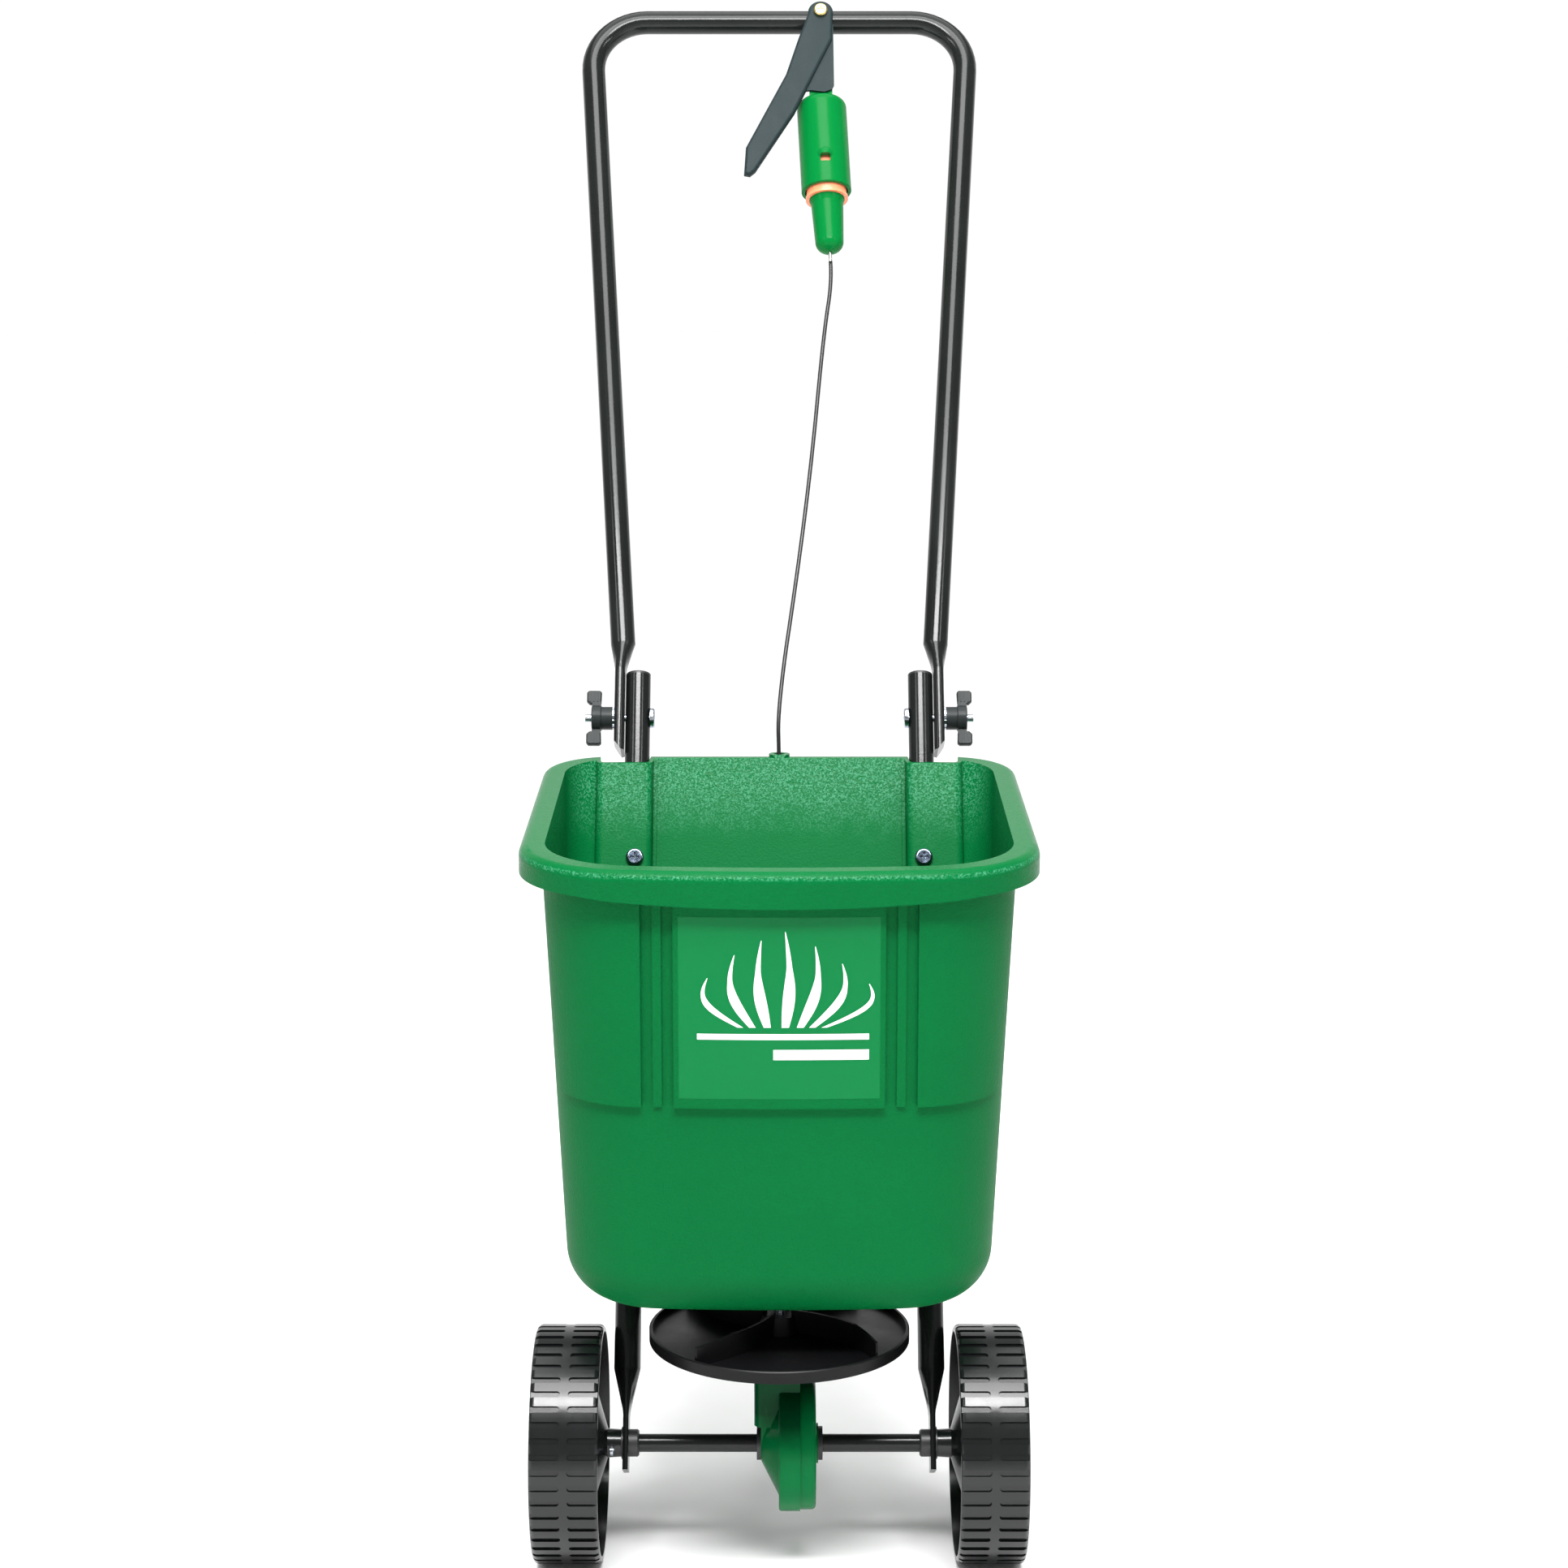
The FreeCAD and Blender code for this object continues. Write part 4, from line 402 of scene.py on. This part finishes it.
NODE_MATERIALS = {
    "hopper": "hopper", "hopper_screws": "screw", "hopper_nuts": "steel",
    "lower_tube_left": "tube", "lower_tube_right": "tube", "tube_plugs": "black",
    "upper_handle": "tube", "fold_bolts": "steel", "fold_washers": "steel",
    "wing_nut_left": "wing", "wing_nut_right": "wing",
    "axle": "axle", "axle_bushes": "black", "drive_wheel": "wheel", "free_wheel": "wheel",
    "drive_pin": "steel", "hub_caps": "black",
    "gearbox_case": "gearbox_case", "gearbox_cover": "gearbox", "gearbox_screws": "steel",
    "gearbox_bushes": "black", "crown_gear": "nylon", "spinner_pinion": "nylon",
    "spinner_shaft": "steel", "spinner_disc": "disc", "disc_pin": "steel", "agitator": "steel",
    "floor_bush": "nylon", "shutter_plate": "black", "shutter_guides": "black",
    "shutter_wire": "wire", "shutter_spring": "steel", "cable_bracket": "black",
    "bracket_screws": "steel", "rear_stand": "tube", "stand_foot": "rubber",
    "stand_bolts": "steel", "stand_nuts": "steel",
    "control_body": "control", "rate_drum": "orange", "dial_nose": "control",
    "cable_ferrule": "wire", "trigger": "trigger", "trigger_bolt": "yellow", "trigger_nut": "steel",
    "upper_cable": "sheath", "lower_cable": "sheath",
}


# ---------------------------------------------------------------- pieces
FOLD_AT = 0.5457                # axle to the fold axis, along the tubes
BOSS_Y = AXLE.y + 0.246         # the cable's boss in the rear rim
SHEATH_RADIUS = 0.0016
SHEATH_BORE = 0.00115           # radius of the sheath's bore
SPRING_WIRE = 0.0006            # radius of the spring's wire
SPRING_TURNS = 9
STEPS_PER_TURN = 12


def link_mesh(name, work):
    mesh = bpy.data.meshes.new(name)
    work.normal_update()
    work.to_mesh(mesh)
    work.free()
    piece = bpy.data.objects.new(name, mesh)
    bpy.context.scene.collection.objects.link(piece)
    return piece


def cable_route():
    """The sheath's route from the ferrule under the dial to the stop behind the hopper."""
    handle_run = [(0.0417, 0.0025, 0.9397), (0.0426, 0.0025, 0.9217), (0.0372, 0.0024, 0.884),
                  (0.0326, 0.0022, 0.839), (0.0282, 0.0020, 0.790), (0.0229, 0.0017, 0.739),
                  (0.0168, 0.0013, 0.688), (0.0099, 0.0009, 0.636), (0.0034, 0.0004, 0.590),
                  (-0.001, 0.0, FOLD_AT)]
    points = [on_tubes(*place) for place in handle_run]
    points.append(Vector((-0.0004, BOSS_Y + 0.0004, 0.545)))
    points.append(Vector((0.0, BOSS_Y, 0.521)))
    for y, z in ((0.235, 0.489), (0.216, 0.450), (0.199, 0.408), (0.186, 0.362), (0.179, 0.316),
                 (0.177, 0.278), (0.174, 0.246), (0.166, 0.217), (0.152, 0.2015), (0.138, 0.200),
                 (0.122, 0.200), (0.109, 0.200)):
        points.append(Vector((0.0, AXLE.y + y, z)))
    return points


def swept(points, radius, capped):
    """The mesh of a round tube swept along a smooth curve that these points control."""
    data = bpy.data.curves.new("sweep", "CURVE")
    data.dimensions = "3D"
    spline = data.splines.new("NURBS")
    spline.points.add(len(points) - 1)
    for control, place in zip(spline.points, points):
        control.co = (*place, 1.0)
    spline.order_u = 3
    spline.use_endpoint_u = True
    spline.resolution_u = 8
    data.bevel_depth = radius
    data.bevel_resolution = 4
    data.use_fill_caps = capped
    sweep = bpy.data.objects.new("sweep", data)
    mesh = bpy.data.meshes.new_from_object(sweep)
    bpy.data.objects.remove(sweep)
    return mesh


def smooth_piece(name, work, material):
    piece = link_mesh(name, work)
    piece.data.polygons.foreach_set("use_smooth", [True] * len(piece.data.polygons))
    material.give(piece)
    return piece


def make_cable(material):
    """One hollow sheath in place of the two solids that meet on the fold axis."""
    points = cable_route()
    mid_wall = (SHEATH_RADIUS + SHEATH_BORE) / 2
    work = bmesh.new()
    for radius in (SHEATH_RADIUS, SHEATH_BORE):
        work.from_mesh(swept(points, radius, False))
    for end in (points[0], points[-1]):
        rims = [vert for vert in work.verts if (vert.co - end).length < SHEATH_RADIUS * 1.1]
        inner = [vert for vert in rims if (vert.co - end).length < mid_wall]
        partner = {}
        for vert in rims:
            if vert not in inner:
                partner[vert] = min(inner, key=lambda other: (other.co - vert.co).length)
        open_edges = [edge for edge in work.edges if edge.is_boundary]
        for edge in open_edges:
            first, second = edge.verts
            if first in partner and second in partner:
                work.faces.new((first, second, partner[second], partner[first]))
    bmesh.ops.recalc_face_normals(work, faces=work.faces)
    cable = smooth_piece("cable_sheath", work, material)
    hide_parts("upper_cable", "lower_cable")
    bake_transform(cable)


def make_spring(material):
    """The shutter's return spring, between the tab on the shutter and the cable's stop."""
    low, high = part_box("shutter_spring")
    middle = (low + high) / 2
    coil_radius = (high.x - low.x) / 2 - SPRING_WIRE
    first = low.y + SPRING_WIRE
    length = high.y - low.y - 2 * SPRING_WIRE
    steps = SPRING_TURNS * STEPS_PER_TURN
    points = []
    for step in range(steps + 1):
        angle = step * math.tau / STEPS_PER_TURN
        along = first + length * step / steps
        points.append(Vector((middle.x + coil_radius * math.sin(angle), along,
                              middle.z + coil_radius * math.cos(angle))))
    work = bmesh.new()
    work.from_mesh(swept(points, SPRING_WIRE, True))
    bmesh.ops.remove_doubles(work, verts=work.verts, dist=1e-6)
    spring = smooth_piece("return_spring", work, material)
    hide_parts("shutter_spring")
    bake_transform(spring)


FILM_SINK = 0.0001              # how far a film's back lies inside the hopper's wall
LABEL_PROUD = 0.00012
PRINT_PROUD = 0.0003
LABEL_LOW, LABEL_HIGH = 0.3590, 0.4850
LABEL_HALF_WIDTH = 0.0675
EMBLEM_Z = 0.409                # foot of the printed tuft of grass
BLADES = (                      # x of the tip and of the foot, height, sideways bend, width
    (-0.048, -0.026, 0.034, -0.012, 0.0060),
    (-0.030, -0.018, 0.050, -0.008, 0.0070),
    (-0.012, -0.008, 0.060, -0.004, 0.0078),
    (0.004, 0.004, 0.066, 0.003, 0.0080),
    (0.024, 0.014, 0.056, 0.006, 0.0076),
    (0.042, 0.022, 0.044, 0.010, 0.0068),
    (0.060, 0.030, 0.030, 0.014, 0.0058),
)


def front_of_hopper(x, z):
    """The point on the outside of the hopper's front wall straight in front of (x, z)."""
    start = Vector((x, HOPPER_LOW.y - 0.2, z))
    found, place, _, _ = nodes["hopper"].ray_cast(start, Vector((0.0, 1.0, 0.0)))
    if not found:
        raise ValueError(f"nothing of the hopper's front is at {x:.3f}, {z:.3f}")
    return place


def film(name, grid, material, proud):
    """A thin closed film on the hopper's front.  grid: rows of (x, z) places, all equally long."""
    work = bmesh.new()
    layers = []
    for lift in (proud, -FILM_SINK):
        step_out = Vector((0.0, lift, 0.0))
        layers.append([[work.verts.new(front_of_hopper(x, z) - step_out) for x, z in row]
                       for row in grid])
    outer, inner = layers
    rows = len(grid)
    columns = len(grid[0])
    for r in range(rows - 1):
        for c in range(columns - 1):
            work.faces.new((outer[r][c], outer[r][c + 1], outer[r + 1][c + 1], outer[r + 1][c]))
            work.faces.new((inner[r][c], inner[r + 1][c], inner[r + 1][c + 1], inner[r][c + 1]))
    ring = [(0, c) for c in range(columns)]
    ring += [(r, columns - 1) for r in range(1, rows)]
    ring += [(rows - 1, c) for c in range(columns - 2, -1, -1)]
    ring += [(r, 0) for r in range(rows - 2, 0, -1)]
    for (r1, c1), (r2, c2) in zip(ring, ring[1:] + ring[:1]):
        work.faces.new((outer[r2][c2], outer[r1][c1], inner[r1][c1], inner[r2][c2]))
    bmesh.ops.recalc_face_normals(work, faces=work.faces)
    piece = link_mesh(name, work)
    material.give(piece)
    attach(piece, "frame")


def blade_grid(foot, tip, bend, width):
    """A grass blade from foot to tip, curved sideways by bend and tapering to its tip."""
    rows = []
    steps = 22
    for step in range(steps + 1):
        share = step / steps
        middle_x = foot[0] + (tip[0] - foot[0]) * share + bend * math.sin(math.pi * share)
        middle_z = foot[1] + (tip[1] - foot[1]) * share
        swell = 0.55 + 0.45 * math.sin(math.pi * min(1.0, share * 1.6))
        half = width / 2 * swell * (1 - share ** 3) + 0.0002
        rows.append([(middle_x + half * side, middle_z) for side in (-1, 0, 1)])
    return rows


def bar_grid(left, right, low, high):
    """An upright rectangle, in three rows."""
    steps = 24
    return [[(left + (right - left) * k / steps, z) for k in range(steps + 1)]
            for z in (low, (low + high) / 2, high)]


def make_label(green):
    """A thin film over most of the middle panel, a shade lighter than the moulding round it."""
    steps = 28
    rows = []
    for r in range(steps + 1):
        z = LABEL_LOW + (LABEL_HIGH - LABEL_LOW) * r / steps
        rows.append([(-LABEL_HALF_WIDTH + 2 * LABEL_HALF_WIDTH * c / steps, z)
                     for c in range(steps + 1)])
    film("panel_label", rows, green, LABEL_PROUD)


def make_emblem(white):
    """A plain printed tuft of grass over two bars, on the middle panel."""
    for number, (tip_x, foot_x, height, bend, width) in enumerate(BLADES, 1):
        grid = blade_grid((foot_x, EMBLEM_Z), (tip_x, EMBLEM_Z + height), bend, width)
        film(f"emblem_blade_{number}", grid, white, PRINT_PROUD)
    ground = bar_grid(-0.055, 0.060, EMBLEM_Z - 0.0085, EMBLEM_Z - 0.0045)
    film("emblem_ground", ground, white, PRINT_PROUD)
    bar = bar_grid(-0.004, 0.060, EMBLEM_Z - 0.0225, EMBLEM_Z - 0.0155)
    film("emblem_bar", bar, white, PRINT_PROUD)


# ---------------------------------------------------------------- build
make_camera()
make_studio()
make_room()
make_floor()
materials = make_materials()
for node_name, material_name in NODE_MATERIALS.items():
    materials[material_name].give(nodes[node_name])
make_cable(materials["sheath"])
make_spring(materials["steel"])
make_label(materials["label"])
make_emblem(materials["print"])
